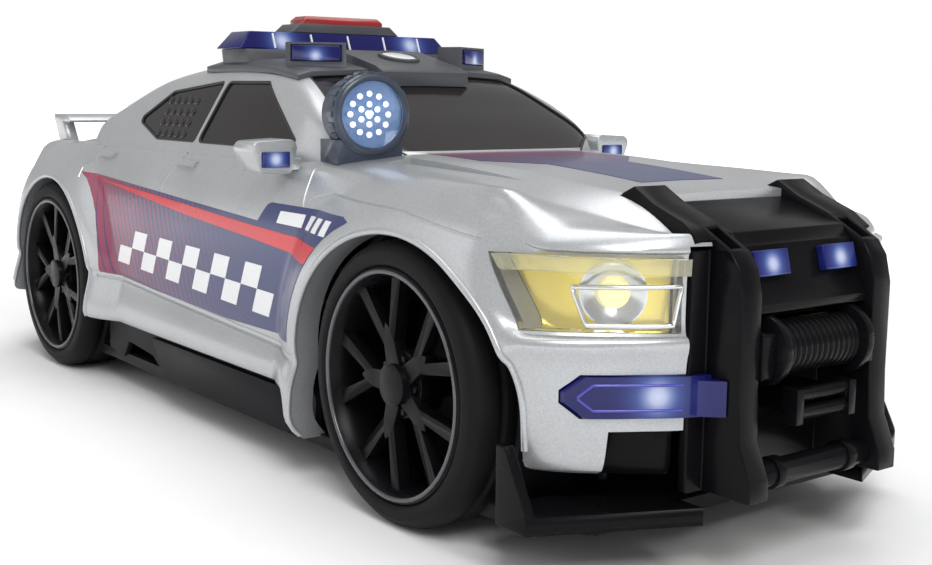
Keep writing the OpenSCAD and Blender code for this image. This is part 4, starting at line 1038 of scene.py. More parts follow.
class Paintbox:
    """Makes each finish's material once."""

    def __init__(self) -> None:
        """Builds the shared node groups."""
        self.grain = grain_group()
        self.flake = flake_group()
        self.hatch = hatch_group()
        self.glow = glow_group()
        self.made: dict[str, Material] = {}

    def start(self, finish: Finish) -> Surface:
        """Material with grain, tone and bump for a finish.

        Args:
            finish: Surface to make.

        Returns:
            Material, pen on its tree, shader, coordinates node and socket with the toned colour.
        """
        mat = bpy.data.materials.new(finish.name)
        mat.use_nodes = True
        mat.diffuse_color = (*finish.colour, 1.0)
        pen = Pen(mat.node_tree)
        shader = mat.node_tree.nodes["Principled BSDF"]
        for label, value in (("Metallic", finish.metal), ("Coat Weight", finish.coat),
                             ("Coat Roughness", COAT_ROUGH), ("Transmission Weight", finish.transmission),
                             ("IOR", finish.ior), ("Specular IOR Level", finish.shine),
                             ("Emission Color", finish.glow), ("Emission Strength", finish.glow_strength)):
            pen.feed(shader.inputs[label], value)
        where = pen.node("ShaderNodeTexCoord")
        grain = pen.node("ShaderNodeGroup", node_tree=self.grain, Scale=finish.grain,
                         Vector=where.outputs["Object"])
        low = [c * (1 - finish.tone) for c in finish.colour]
        high = [min(1.0, c * (1 + finish.tone)) for c in finish.colour]
        colour = pen.blend(grain.outputs["Tone"], low, high)
        pen.join(colour, shader.inputs["Base Color"])
        least, most = max(0.02, finish.rough - finish.swing), finish.rough + finish.swing
        rough = pen.node("ShaderNodeMapRange", To_Min=least, To_Max=most, Value=grain.outputs["Tone"])
        pen.join(rough.outputs["Result"], shader.inputs["Roughness"])
        bump = pen.node("ShaderNodeBump", Strength=finish.depth * 10, Distance=BUMP_HEIGHT,
                        Height=grain.outputs["Height"])
        pen.join(bump.outputs["Normal"], shader.inputs["Normal"])
        self.made[finish.name] = mat
        return mat, pen, shader, where, colour

    def plain(self, finish: Finish) -> Material:
        """Material of a plain moulded surface."""
        return self.made[finish.name] if finish.name in self.made else self.start(finish)[0]

    def metallic(self, finish: Finish, share: float = 0.16) -> Material:
        """Material of a paint with metal flakes.

        Args:
            finish: Painted surface.
            share: How strongly the flakes show.

        Returns:
            The material.
        """
        if finish.name in self.made:
            return self.made[finish.name]
        mat, pen, shader, where, colour = self.start(finish)
        flake = pen.node("ShaderNodeGroup", node_tree=self.flake, Vector=where.outputs["Object"])
        tint = pen.blend(share, colour, flake.outputs["Flake"], "MULTIPLY")
        pen.join(tint, shader.inputs["Base Color"])
        return mat

    def lens(self, finish: Finish, spots: Sequence[Sequence[float]], reach: float,
             light: Colour = (0.25, 0.45, 1.0)) -> Material:
        """Material of a tinted lens that glows softly round the lamps behind it.

        Args:
            finish: Lens surface.
            spots: Lamp places in millimetres.
            reach: Radius of the glow in millimetres.
            light: Colour of the glow.

        Returns:
            The material.
        """
        mat, pen, shader, where, _ = self.start(finish)
        halo = self.light_mask(pen, where, spots, reach)
        core = self.light_mask(pen, where, spots, reach * HEART_REACH)
        heart = pen.maths("MULTIPLY", core, HEART_GAIN, clamp=True)
        tint = pen.blend(halo, finish.glow, light)
        pale = pen.blend(heart, tint, [PALE_SHARE * c + PALE_BASE for c in light])
        power = pen.maths("ADD", finish.glow_strength, pen.maths("MULTIPLY", halo, HALO_GAIN))
        pen.join(pen.blend(1.0, pale, power, "MULTIPLY"), shader.inputs["Emission Color"])
        shader.inputs["Emission Strength"].default_value = 1.0
        return mat

    def light_mask(self, pen: Pen, where: Node, spots: Sequence[Sequence[float]],
                   reach: float) -> NodeSocket:
        """Sum of the soft spots round some lamps.

        Args:
            pen: Pen on the material's tree.
            where: Coordinates node.
            spots: Lamp places in millimetres.
            reach: Radius of each spot in millimetres.

        Returns:
            Socket with the mask.
        """
        total: object = 0.0
        for spot in spots:
            glow = pen.node("ShaderNodeGroup", node_tree=self.glow, Reach=reach * MM,
                            Vector=where.outputs["Object"])
            glow.inputs["Centre"].default_value = [c * MM for c in spot]
            total = pen.maths("ADD", glow.outputs["Mask"], total, clamp=True)
        return total


class Finishes:
    """The car's finishes, by what they are on."""

    silver = Finish("silver_paint", (0.52, 0.535, 0.55), rough=0.33, swing=0.04, metal=0.55, coat=0.25,
                    depth=0.006, tone=0.03)
    black = Finish("black_plastic", (0.005, 0.0045, 0.0055), rough=0.26, tone=0.15, shine=0.1)
    skirt = Finish("skirt_plastic", (0.012, 0.012, 0.014), rough=0.45, swing=0.07, depth=0.03, tone=0.15,
                   shine=0.12)
    wheel = Finish("wheel_plastic", (0.005, 0.005, 0.006), rough=0.27, swing=0.05, depth=0.015, tone=0.15,
                   shine=0.12)
    tyre = Finish("tyre_rubber", (0.008, 0.0075, 0.0085), rough=0.55, swing=0.08, grain=900.0, depth=0.06,
                  tone=0.2, shine=0.12)
    steel = Finish("steel", (0.55, 0.55, 0.56), rough=0.3, metal=1.0, grain=2500.0, depth=0.01)
    smoked = Finish("smoked_window", (0.012, 0.0095, 0.009), rough=0.13, swing=0.03, coat=0.15,
                    depth=0.002, tone=0.15, shine=0.35)
    trim = Finish("window_trim", (0.008, 0.008, 0.009), rough=0.45)
    clear = Finish("clear_lens", (0.95, 0.96, 0.97), rough=0.04, swing=0.01, transmission=0.95, ior=1.45,
                   depth=0.0, tone=0.01)
    bright = Finish("bright_bucket", (0.72, 0.73, 0.74), rough=0.22, metal=0.8, depth=0.004, tone=0.02)
    bucket = Finish("warm_bucket", (0.75, 0.6, 0.12), rough=0.24, metal=0.5, depth=0.004, tone=0.02,
                    glow=(0.6, 0.46, 0.03), glow_strength=0.2)
    lamp = Finish("warm_lamp", (1.0, 0.9, 0.45), rough=0.3, glow=(1.0, 0.9, 0.42), glow_strength=0.85)
    ledge = Finish("clear_ledge", (0.96, 0.95, 0.78), rough=0.06, swing=0.02, transmission=0.85, ior=1.45,
                   depth=0.0, tone=0.01)
    blue = Finish("blue_lens", (0.004, 0.0042, 0.075), rough=0.12, swing=0.03, coat=0.2, depth=0.003,
                  shine=0.35, glow=(0.012, 0.016, 0.2), glow_strength=0.12)
    violet = Finish("violet_edge", (0.07, 0.07, 0.42), rough=0.15, coat=0.3, depth=0.003)
    red = Finish("red_lens", (0.45, 0.012, 0.012), rough=0.14, coat=0.4, transmission=0.15, depth=0.003,
                 glow=(0.3, 0.0, 0.0), glow_strength=0.25)
    led = Finish("white_led", (0.95, 0.96, 1.0), rough=0.25, glow=(0.9, 0.95, 1.0), glow_strength=1.0)
    rack = Finish("rack_grey", (0.06, 0.064, 0.073), rough=0.42, depth=0.025, tone=0.08)
    screw = Finish("black_screw", (0.02, 0.02, 0.022), rough=0.35, metal=0.5, grain=2500.0, depth=0.01)
    # Grey ring on the black wheels: its paler colour is a painted highlight of the rim's edge.
    rim = Finish("rim_highlight_paint", (0.11, 0.11, 0.12), rough=0.2, metal=0.4, depth=0.01)
    button = Finish("button_red", (0.3, 0.012, 0.014), rough=0.25, coat=0.3, depth=0.01)
    spot = Finish("spot_grey", (0.036, 0.05, 0.078), rough=0.3, coat=0.2, depth=0.015, tone=0.1)
    spot_back = Finish("spot_back", (0.1, 0.22, 0.45), rough=0.25, metal=0.3, depth=0.01,
                       glow=(0.1, 0.24, 0.55), glow_strength=0.35)
    board = Finish("board_green", (0.03, 0.13, 0.05), rough=0.35)
    sleeve = Finish("cell_sleeve", (0.05, 0.16, 0.09), rough=0.3, coat=0.3)
    white = Finish("white_plastic", (0.75, 0.75, 0.73), rough=0.4)
    dome = Finish("dome_rubber", (0.6, 0.58, 0.54), rough=0.6)
    cone = Finish("speaker_cone", (0.03, 0.03, 0.033), rough=0.7, depth=0.05)
    navy = Finish("navy_print", (0.022, 0.032, 0.135), rough=0.3, swing=0.04, coat=0.3, depth=0.004)
    stripe = Finish("red_print", (0.62, 0.02, 0.03), rough=0.3, swing=0.04, coat=0.3, depth=0.004, tone=0.04)
    chalk = Finish("white_print", (0.82, 0.83, 0.84), rough=0.3, swing=0.04, coat=0.3, depth=0.004, tone=0.02)


# Repeated forms


class Layout(Enum):
    """Ways to lay out repeated forms."""

    RING = "ring"
    ROW = "row"
    GRID = "grid"


class Form(Enum):
    """Small forms that can be repeated."""

    BLOCK = "GeometryNodeMeshCube"
    DOME = "GeometryNodeMeshUVSphere"


@dataclass(frozen=True)
class Repeater:
    """Repeats a small form by a node tree with named inputs."""

    layout: Layout
    form: Form
    count: int
    size: Place
    rows: int = 1
    reach: float = 0.0
    step: Flat = (0.0, 0.0)

    def tree(self) -> NodeTree:
        """Node tree for this layout and form, made once.

        Returns:
            The tree.
        """
        name = f"{self.layout.value}_of_{self.form.name.lower()}s"
        if name in bpy.data.node_groups:
            return bpy.data.node_groups[name]
        tree = bpy.data.node_groups.new(name, "GeometryNodeTree")
        for label, kind in (("Geometry", "Geometry"), ("Count", "Int"), ("Rows", "Int"), ("Reach", "Float"),
                            ("Length", "Float"), ("Width", "Float"), ("Size", "Vector"),
                            ("Material", "Material")):
            tree.interface.new_socket(label, in_out="INPUT", socket_type=f"NodeSocket{kind}")
        tree.interface.new_socket("Geometry", in_out="OUTPUT", socket_type="NodeSocketGeometry")
        pen = Pen(tree)
        start, end = pen.node("NodeGroupInput"), pen.node("NodeGroupOutput")
        scatter = pen.node("GeometryNodeInstanceOnPoints")
        pen.join(self.points(pen, start, scatter), scatter.inputs["Points"])
        shape = pen.node(self.form.value)
        if self.form is Form.DOME:
            shape.inputs["Segments"].default_value = DOME_SEGMENTS
            shape.inputs["Rings"].default_value = DOME_RINGS
        pen.join(shape.outputs["Mesh"], scatter.inputs["Instance"])
        pen.join(start.outputs["Size"], scatter.inputs["Scale"])
        real = pen.node("GeometryNodeRealizeInstances", Geometry=scatter.outputs["Instances"])
        dress = pen.node("GeometryNodeSetMaterial", Geometry=real.outputs["Geometry"],
                         Material=start.outputs["Material"])
        pen.join(dress.outputs["Geometry"], end.inputs["Geometry"])
        return tree

    def points(self, pen: Pen, start: Node, scatter: Node) -> NodeSocket:
        """Points of the layout; in a ring the forms also turn to face outwards.

        Args:
            pen: Pen on the tree.
            start: Group input node.
            scatter: Instancing node.

        Returns:
            Socket with the points.
        """
        if self.layout is Layout.RING:
            made = pen.node("GeometryNodeMeshCircle", Vertices=start.outputs["Count"],
                            Radius=start.outputs["Reach"])
            place = pen.node("GeometryNodeInputPosition")
            turn = pen.node("FunctionNodeAlignRotationToVector", axis="X", Vector=place.outputs["Position"])
            pen.join(turn.outputs["Rotation"], scatter.inputs["Rotation"])
            return made.outputs["Mesh"]
        made = pen.node("GeometryNodeMeshGrid")
        for label, socket in (("Count", "Vertices X"), ("Rows", "Vertices Y"),
                              ("Length", "Size X"), ("Width", "Size Y")):
            pen.join(start.outputs[label], made.inputs[socket])
        return made.outputs["Mesh"]

    def make(self, name: str, place: Matrix, finish: Material) -> Object:
        """Plain mesh object of all forms.

        Args:
            name: Name of the piece.
            place: Place and turn of the layout, in millimetres.
            finish: Material.

        Returns:
            The object, in metres.
        """
        obj = link(bpy.data.objects.new(name, bpy.data.meshes.new(name)))
        mod = obj.modifiers.new("repeat", "NODES")
        tree = self.tree()
        values = {"Count": self.count, "Rows": self.rows, "Reach": self.reach * MM,
                  "Length": (self.count - 1) * self.step[0] * MM,
                  "Width": (self.rows - 1) * self.step[1] * MM,
                  "Size": [c * MM for c in self.size], "Material": finish}
        mod.node_group = tree
        for item in tree.interface.items_tree:
            if item.in_out == "INPUT" and item.name in values:
                mod[item.identifier] = values[item.name]
        bake(obj)
        where = place.copy()
        where.translation = place.translation * MM
        obj.data.transform(where)
        return obj


def facing(place: Sequence[float], out: Sequence[float], up: Sequence[float] = (0, 0, 1)) -> Matrix:
    """Place whose local z axis points out and whose local y axis leans up.

    Args:
        place: Its origin in millimetres.
        out: Direction of its z axis.
        up: Direction that its y axis leans to.

    Returns:
        Place and turn.
    """
    z = Vector(out).normalized()
    x = Vector(up).cross(z).normalized()
    turn = Matrix((x, z.cross(x), z)).transposed()
    return Matrix.Translation(Vector(place)) @ turn.to_4x4()


def beside(place: Place, side: Side) -> Place:
    """Place given for the left-hand side, on either side of the car."""
    return place[0], place[1] * side.value, place[2]


def to_left(data: Mesh) -> Mesh:
    """Right-hand mesh turned into the left-hand one."""
    data.transform(Matrix.Scale(-1, 4, (0, 1, 0)))
    data.flip_normals()
    return data


def mirror_copy(obj: Object, name: str) -> Object:
    """Copy of a right-hand object on the car's left."""
    return link(bpy.data.objects.new(name, to_left(obj.data.copy())))


# Outlines, lofts and plates of the body


def fine_line(row: Sequence[Flat], step: float, closed: bool = False) -> np.ndarray:
    """Corner points with closely spaced points between them.

    Args:
        row: Corner points.
        step: Largest distance between points.
        closed: Whether the line returns to its start.

    Returns:
        Points of the line.
    """
    out = []
    pairs = list(zip(row, list(row[1:]) + [row[0]]))
    for a, b in pairs if closed else pairs[:-1]:
        n = max(1, math.ceil(math.dist(a, b) / step))
        out += [mix(np.asarray(a, float), np.asarray(b, float), i / n) for i in range(n)]
    if not closed:
        out.append(np.asarray(row[-1], float))
    return np.asarray(out)


def side_window(end: End, shrink: float = 0.0) -> list[Flat]:
    """Outline of a side window in x and z.

    Args:
        end: Front for the door's window, rear for the one behind it.
        shrink: How far the outline is set in.

    Returns:
        Points of the outline.
    """
    low, top, p, s = CAR.belt_z + 1.2, CAR.roof_z - 6.2, CAR.pillar_x, shrink
    if end is End.FRONT:
        r = 1.5
        return round_outline([(p + 0.4 + r + s, low + r + s), (p + 4 + r + s, top - r - s),
                              (CAR.roof_front_x - 10 - s, top - r - s),
                              (CAR.screen_foot_x - 29 - 2 * s, low + r + s)], r)
    r = 1.2
    rear = CAR.roof_rear_x
    return round_outline([(p - 2.4 - r - s, low + r + s), (p + 1.2 - r - s, top - r - s),
                          (rear + 10 + s, top - 4 - s), (rear - 4 + 2 * s, low + 5.4),
                          (rear + 11 + s, low + r + s)], r)


def screen(end: End, shrink: float = 0.0) -> list[Flat]:
    """Outline of the windscreen or the rear window in x and y.

    Args:
        end: Front for the windscreen, rear for the rear window.
        shrink: How far the outline is set in.

    Returns:
        Points of the outline.
    """
    s = shrink
    if end is End.FRONT:
        foot, half = CAR.screen_foot_x, CAR.cabin_half - 9.5 - s
        row = [(CAR.roof_front_x + 3 + s, half - 8), (foot - 13 - s, half - 2), (foot - 3 - s, half - 13),
               (CAR.roof_front_x + 1 + s, 0), (foot - 1 - s, 0)]
    else:
        half = CAR.cabin_half - 14 - s
        row = [(CAR.roof_rear_x - 8 - s, half - 3), (CAR.rear_foot_x + 9 + s, half)]
    return round_outline(row + [(x, -y) for x, y in row], 2.0)


def window_tools(shrink: float) -> list[Object]:
    """Solids of all window openings.

    Args:
        shrink: How far the outlines are set in.

    Returns:
        Objects to cut or keep with.
    """
    tools = []
    for end in End:
        side = Stock().prism(side_window(end, shrink), "y", -CAR.cabin_half - 1, -CAR.cabin_half * 0.4)
        tools.append(side.mirrored().scratch(f"{end.value}_side_tool"))
        pane = Stock().prism(screen(end, shrink), "z", CAR.belt_z + 1.5, CLEAR_Z)
        tools.append(pane.scratch(f"{end.value}_screen_tool"))
    return tools


def arch_outline(end: End, grow: float = 0.0, feet: Flat = (-1.0, -1.0), steps: int = 48) -> list[Flat]:
    """Wheel opening in x and z, from its rear foot over the top to its front foot.

    Args:
        end: Which pair of wheels.
        grow: How far the outline is set out.
        feet: Heights of its rear and front foot.
        steps: Points on the round part.

    Returns:
        Points of the open outline.
    """
    axle_x, stretch = CAR.axle(end)
    r = CAR.arch_r + grow
    over = [(axle_x + r * stretch * math.cos(a), CAR.axle_z + r * math.sin(a))
            for a in np.linspace(math.pi, 0, steps)]
    return [(axle_x - r * stretch, feet[0]), *over, (axle_x + r * stretch, feet[1])]


def body_loft(off: float, ends: int = 30, steps: int = 190) -> Stock:
    """Solid of the body at a depth below its surface."""
    x = stations(CAR.tail_x + off, CAR.tail_corner_x, CAR.nose_corner_x, CAR.nose_x - off, ends, steps)
    return Stock().loft(x, CAR.section(x, off))


def cabin_loft(off: float, foot: float, ends: int = 26, steps: int = 64) -> Stock:
    """Solid of the cabin at a depth below its surface, from a foot height up."""
    x = stations(CAR.rear_foot_x - 2 + off, CAR.rear_foot_x + CAR.round_rear,
                 CAR.screen_foot_x - CAR.round_front, CAR.screen_foot_x + 2 - off, ends, steps)
    return Stock().loft(x, CAR.cabin_section(x, off, foot))


def on_skin(name: str, outlines: Sequence[Sequence[Flat]], axis: str, lift: float,
            deep: float = 0.3) -> Object:
    """Thin plates that follow the body's skin inside some outlines.

    Args:
        name: Name of the piece.
        outlines: Plates in x and z on the right-hand side, or in x and y on the bonnet.
        axis: "y" for the side and "z" for the bonnet.
        lift: Height of the plates above the skin.
        deep: Depth of their backs under it.

    Returns:
        The plates as one object.
    """
    low, high = (-CAR.half_w - 12, -30.0) if axis == "y" else (60.0, 95.0)
    tool = Stock()
    for outline in outlines:
        tool.prism(outline, axis, low, high)
    plates = combine(body_loft(-lift).scratch(name), [tool.scratch("plate_tool")], Cut.COMMON)
    return combine(plates, [body_loft(deep).scratch("plate_room")])


# Sub-assemblies


@dataclass
class Shell:
    """Silver body with its cabin, openings, joints, arch lips and handles."""

    paint: Paintbox
    groove: float = 0.42
    lip: float = 0.75
    lip_gap: float = 0.25
    lip_sink: float = 0.15
    tail_block: float = 12.0
    cabin_foot: float = 73.0
    room_foot: float = 66.0
    crease: float = 28.0
    dart_corners: tuple[Place, ...] = ((65.0, 30.5, 1.4), (107.0, 31.0, 0.05), (101.0, 38.0, 0.05),
                                       (65.0, 38.5, 1.4))
    dart_top: float = 90.0
    handle_x: Flat = (-74.6, -16.9)
    handle: Row = ((-6.0, 73.4), (-4.6, 71.9), (5.6, 71.7), (6.4, 73.2))

    def build(self) -> None:
        """Makes the body in place of the coarse node, then its lips and handles."""
        obj = body_loft(0.0).scratch("body")
        combine(obj, [cabin_loft(0.0, self.cabin_foot).scratch("cabin")], Cut.JOIN)
        combine(obj, self.rooms())
        combine(obj, self.openings())
        combine(obj, self.joints())
        combine(obj, [self.dart()])
        silver = self.paint.metallic(Finishes.silver)
        add_piece(obj, silver, replaces=["body_shell"], angle=self.crease)
        self.lips()
        self.handles()

    def rooms(self) -> list[Object]:
        """Solids that hollow the body and the cabin.

        Returns:
            The cutting objects.
        """
        x = stations(CAR.tail_x + self.tail_block, CAR.tail_corner_x, CAR.nose_corner_x,
                     CAR.nose_x - CAR.wall, 12, 30)
        body = Stock().loft(x, CAR.section(x, CAR.wall, False))
        cabin = cabin_loft(CAR.wall, self.room_foot, 12, 24)
        return [body.scratch("body_room"), cabin.scratch("cabin_room")]

    def openings(self) -> list[Object]:
        """Solids that cut the wheel, window, lamp and guard openings.

        Returns:
            The cutting objects.
        """
        tools = []
        for end in End:
            arch = Stock().prism(arch_outline(end), "y", -CAR.half_w - 10, 6 - CAR.half_w)
            tools.append(arch.mirrored().scratch(f"{end.value}_arch_tool"))
        tools += window_tools(0.0)
        side, corner, nose = -CAR.half_w - 6, CAR.nose_corner_x, CAR.nose_x
        for name, outline, axis, low, high in (
                ("headlight", Lamps.headlight_outline(0.0), "y", side, -CAR.grille_half - 1),
                ("fog", Lamps.fog_outline(0.0), "x", corner + 4, nose + 4),
                ("grille", Lamps.grille_outline(0.0), "x", corner + 6, nose + 6),
                ("tail", Lamps.tail_outline(0.0), "y", side, -CAR.tail_half * 0.56)):
            tools.append(Stock().prism(outline, axis, low, high).mirrored().scratch(f"{name}_tool"))
        return tools + FrontGuard.pocket_tools()

    def joints(self) -> list[Object]:
        """Rods that cut the door, bonnet and sill lines.

        Returns:
            The cutting objects.
        """
        p, b, s, k = CAR.pillar_x, CAR.belt_z, CAR.shoulder_z, CAR.rocker_z
        rear = CAR.rear_axle_x + CAR.rear_arch_l + 2
        front = CAR.front_axle_x - CAR.front_arch_l - 3
        lines = [[(p - 3, b - 1.2), (p - 11, s - 6), (p - 11, k + 1)],
                 [(front - 3, b - 1.4), (front - 1, s - 6), (front - 4.5, k + 1)],
                 [(rear - 9, b - 2.4), (rear - 15, s - 3), (rear - 14, s - 6.2)],
                 [(front + 1, s - 3.4), (front + 9, s - 1.6), (CAR.front_axle_x + 2, s - 2.6),
                  (CAR.nose_corner_x + 6, s - 6.2)],
                 [(CAR.fall_from_x, 35.2), (front - 1.5, 29.4)]]
        return [Stock().tube(self.on_side(row, 0.1), self.groove).mirrored().scratch(f"joint_{i}")
                for i, row in enumerate(lines)]

    def dart(self) -> Object:
        """Solid that cuts the bonnet's shallow darts.

        Returns:
            The cutting object.
        """
        low = [(x, -y, float(CAR.deck_z(x, y)) - deep) for x, y, deep in self.dart_corners]
        high = [(x, y, self.dart_top) for x, y, _ in low]
        faces = [(0, 1, 2), (0, 2, 3), (4, 6, 5), (4, 7, 6)]
        faces += [(i, i + 4, (i + 1) % 4 + 4, (i + 1) % 4) for i in range(4)]
        return Stock().add(low + high, faces).mirrored().scratch("dart_tool")

    def lips(self) -> None:
        """Rounded lips round the wheel openings."""
        stock = Stock()
        sill, inside = CAR.sill_z + 1.2, CAR.sill_z + 4
        for end, feet in ((End.FRONT, (sill - CAR.flap_drop, inside)), (End.REAR, (inside, sill))):
            row = arch_outline(end, self.lip_gap, feet, 60)
            stock.tube(self.on_side(row, -self.lip_sink), self.lip, sides=10)
        lips = stock.mirrored().scratch("arch_lips")
        add_piece(lips, self.paint.metallic(Finishes.silver), angle=60)

    def handles(self) -> None:
        """Door handles as raised plates with an edge."""
        silver = self.paint.metallic(Finishes.silver)
        rows = [[(middle + x, z) for x, z in self.handle] for middle in self.handle_x]
        right = on_skin("right_handles", rows, "y", 1.2, 0.8)
        for obj in (mirror_copy(right, "left_handles"), right):
            add_piece(obj, silver, angle=self.crease, bevel=0.25)

    def on_side(self, row: Sequence[Flat], out: float, fine: float = 1.5) -> np.ndarray:
        """Closely spaced points of a line on the right-hand side, a distance out from it."""
        x, z = fine_line(row, fine).T
        return np.stack([x, -(CAR.side_y(x, z) + out), z], axis=1)


@dataclass
class Lamps:
    """Headlights, fog bars and tail lamps in the body."""

    paint: Paintbox
    fit: float = 0.25
    out: Place = (0.754, -0.658, 0.0)
    bulb_at: Place = (141.7, -36.6, 55.5)
    bowl_profile: Row = ((1.2, -1.9), (5.9, 0.7), (6.5, 0.7), (6.5, -0.1), (1.2, -2.6))
    bulb_profile: Row = ((0.0, -2.2), (1.9, -2.0), (2.5, -0.6), (1.9, 0.7), (0.8, 1.2), (0.0, 1.25))
    bezel_corners: Row = ((44.1, 56.8), (28.4, 57.3), (29.7, 49.8), (42.8, 49.6))
    bezel: float = 0.5
    bezel_steps: int = 12
    fog_edge: float = 0.3
    fog_out: float = 1.0
    warm_at: Place = (141.6, 36.4, 55.5)
    warm_reach: float = 17.0
    warm: Colour = (1.0, 0.86, 0.12)
    fog_at: Place = (151.0, 33.0, 36.5)
    fog_reach: float = 11.0
    tail_at: Place = (-150.0, 45.0, 60.0)
    tail_reach: float = 9.0
    tail_light: Colour = (1.0, 0.12, 0.05)

    @staticmethod
    def headlight_outline(shrink: float) -> list[Flat]:
        """Headlight opening in x and z."""
        top, low = CAR.light_top_z - 1.3 - shrink, CAR.light_low_z + 0.3 + shrink
        return [(CAR.nose_corner_x + 8 + 2 * shrink, top), (CAR.nose_x + 4, top), (CAR.nose_x + 4, low),
                (CAR.nose_corner_x + 16 + shrink, low)]

    @staticmethod
    def fog_outline(shrink: float, cut: float = 3.0) -> list[Flat]:
        """Fog bar opening in y and z.

        Args:
            shrink: How far the outline is set in.
            cut: Size of its cut corners.

        Returns:
            Corner points.
        """
        inner, outer = CAR.guard_half + 0.2 + shrink, CAR.half_w - 5.5 - shrink
        low, top = CAR.fog_low_z + shrink, CAR.fog_top_z - 1 - shrink
        return [(-outer, low + cut), (-outer, top - cut), (cut - outer, top), (-inner, top), (-inner, low),
                (cut - outer, low)]

    @staticmethod
    def grille_outline(shrink: float) -> list[Flat]:
        """Lower bumper opening in y and z.

        Args:
            shrink: How far the outline is set in.

        Returns:
            Corner points.
        """
        outer, inner = CAR.half_w - 12, CAR.guard_half - 4
        low, top = CAR.sill_z - 8, CAR.fog_low_z - 2.5 - shrink
        side, inside = shrink - outer, -inner - shrink
        return [(side, low), (side + 1, top), (inside, top), (inside, low)]

    @staticmethod
    def tail_outline(shrink: float) -> list[Flat]:
        """Tail lamp opening in x and z."""
        s = CAR.shoulder_z
        return [(CAR.tail_x - 1, s - 17 + shrink), (CAR.tail_corner_x - 3 - shrink, s - 12 + shrink),
                (CAR.tail_corner_x + 1 - 2 * shrink, s - 6 - shrink), (CAR.tail_x - 1, s - 6 - shrink)]

    @staticmethod
    def end_loft(off: float, end: End, flared: bool) -> Stock:
        """Solid of the nose or tail.

        Args:
            off: Depth below the outer surface.
            end: Front for the nose, rear for the tail.
            flared: Whether the wheel arches stand out.

        Returns:
            Stock with the solid.
        """
        x = stations(CAR.tail_x + off, CAR.tail_corner_x, CAR.nose_corner_x, CAR.nose_x - off, 40, 3)
        x = x[x >= CAR.nose_corner_x - 1] if end is End.FRONT else x[x <= CAR.tail_corner_x + 3]
        return Stock().loft(x, CAR.section(x, off, flared))

    def skin(self, outer: float, inner: float, end: End = End.FRONT, flared: bool = True) -> Object:
        """Shell of the nose or tail between two depths below the surface."""
        room = self.end_loft(inner, end, flared).scratch("skin_room")
        return combine(self.end_loft(outer, end, flared).scratch("skin"), [room])

    def build(self) -> None:
        """Makes the lenses, buckets and lamps on both sides."""
        for side in Side:
            self.cover(side)
            self.bucket(side)
            self.bulb(side)
            self.fog(side)
            self.tail(side)

    def place(self, obj: Object, side: Side, name: str) -> Object:
        """Names a piece made for the right and mirrors it for the left.

        Args:
            obj: The piece.
            side: Side that it is for.
            name: Its name without the side.

        Returns:
            The piece.
        """
        obj.name = f"{side.label}_{name}"
        if side is Side.LEFT:
            to_left(obj.data)
        return obj

    def headlight_tool(self, shrink: float) -> Object:
        """Solid of the headlight's opening."""
        inner = -CAR.grille_half - 1 - shrink
        return Stock().prism(self.headlight_outline(shrink), "y", -CAR.half_w - 8, inner).scratch("tool")

    def cover(self, side: Side) -> None:
        """Clear headlight cover with a proud upper ledge.

        Args:
            side: Side of the car.
        """
        lens = combine(self.skin(-0.3, 1.1), [self.headlight_tool(self.fit)], Cut.COMMON)
        add_piece(self.place(lens, side, "headlight_cover"), self.paint.plain(Finishes.clear),
                  replaces=[f"{side.label}_headlight_lens"])
        rear, front, top = CAR.nose_corner_x, CAR.nose_x + 4, CAR.light_top_z
        outline = [(rear + 12, top - 4.2), (rear + 10, top - 1.4), (front, top - 1.4), (front, top - 4.6)]
        tool = Stock().prism(outline, "y", -CAR.half_w - 8, -CAR.grille_half - 1.2).scratch("tool")
        ledge = combine(self.skin(-2.0, -0.32), [tool], Cut.COMMON)
        add_piece(self.place(ledge, side, "headlight_ledge"), self.paint.plain(Finishes.ledge),
                  bevel=0.3)

    def bucket(self, side: Side) -> None:
        """Warm bucket behind the cover.

        Args:
            side: Side of the car.
        """
        obj = combine(self.skin(3.4, 4.4, flared=False), [self.headlight_tool(-0.6)], Cut.COMMON)
        glow = self.paint.lens(Finishes.bucket.named(f"bucket_{side.label}"), [beside(self.warm_at, side)],
                               self.warm_reach, self.warm)
        add_piece(self.place(obj, side, "headlight_bucket"), glow,
                  replaces=[f"{side.label}_headlight_reflector"])

    def bulb(self, side: Side) -> None:
        """Bowl, bulb and bezel of a headlight.

        Args:
            side: Side of the car.
        """
        bright = self.paint.plain(Finishes.bright)
        aim = facing(self.bulb_at, self.out)
        bowl = Stock().spin(self.bowl_profile, aim).scratch("bowl")
        add_piece(self.place(bowl, side, "headlight_bowl"), bright)
        bulb = Stock().spin(self.bulb_profile, aim, 32).scratch("bulb")
        add_piece(self.place(bulb, side, "headlight_bulb"), self.paint.plain(Finishes.lamp),
                  angle=60)
        corners, steps = self.bezel_corners, self.bezel_steps
        path = [mix(np.array(a), np.array(b), i / steps)
                for a, b in zip(corners, corners[1:] + corners[:1]) for i in range(steps)]
        row = [(CAR.nose_at(y, z, -0.4), -y, z) for y, z in path]
        bezel = Stock().tube(row, self.bezel, closed=True, across=self.out).scratch("bezel")
        add_piece(self.place(bezel, side, "headlight_bezel"), bright, angle=60)

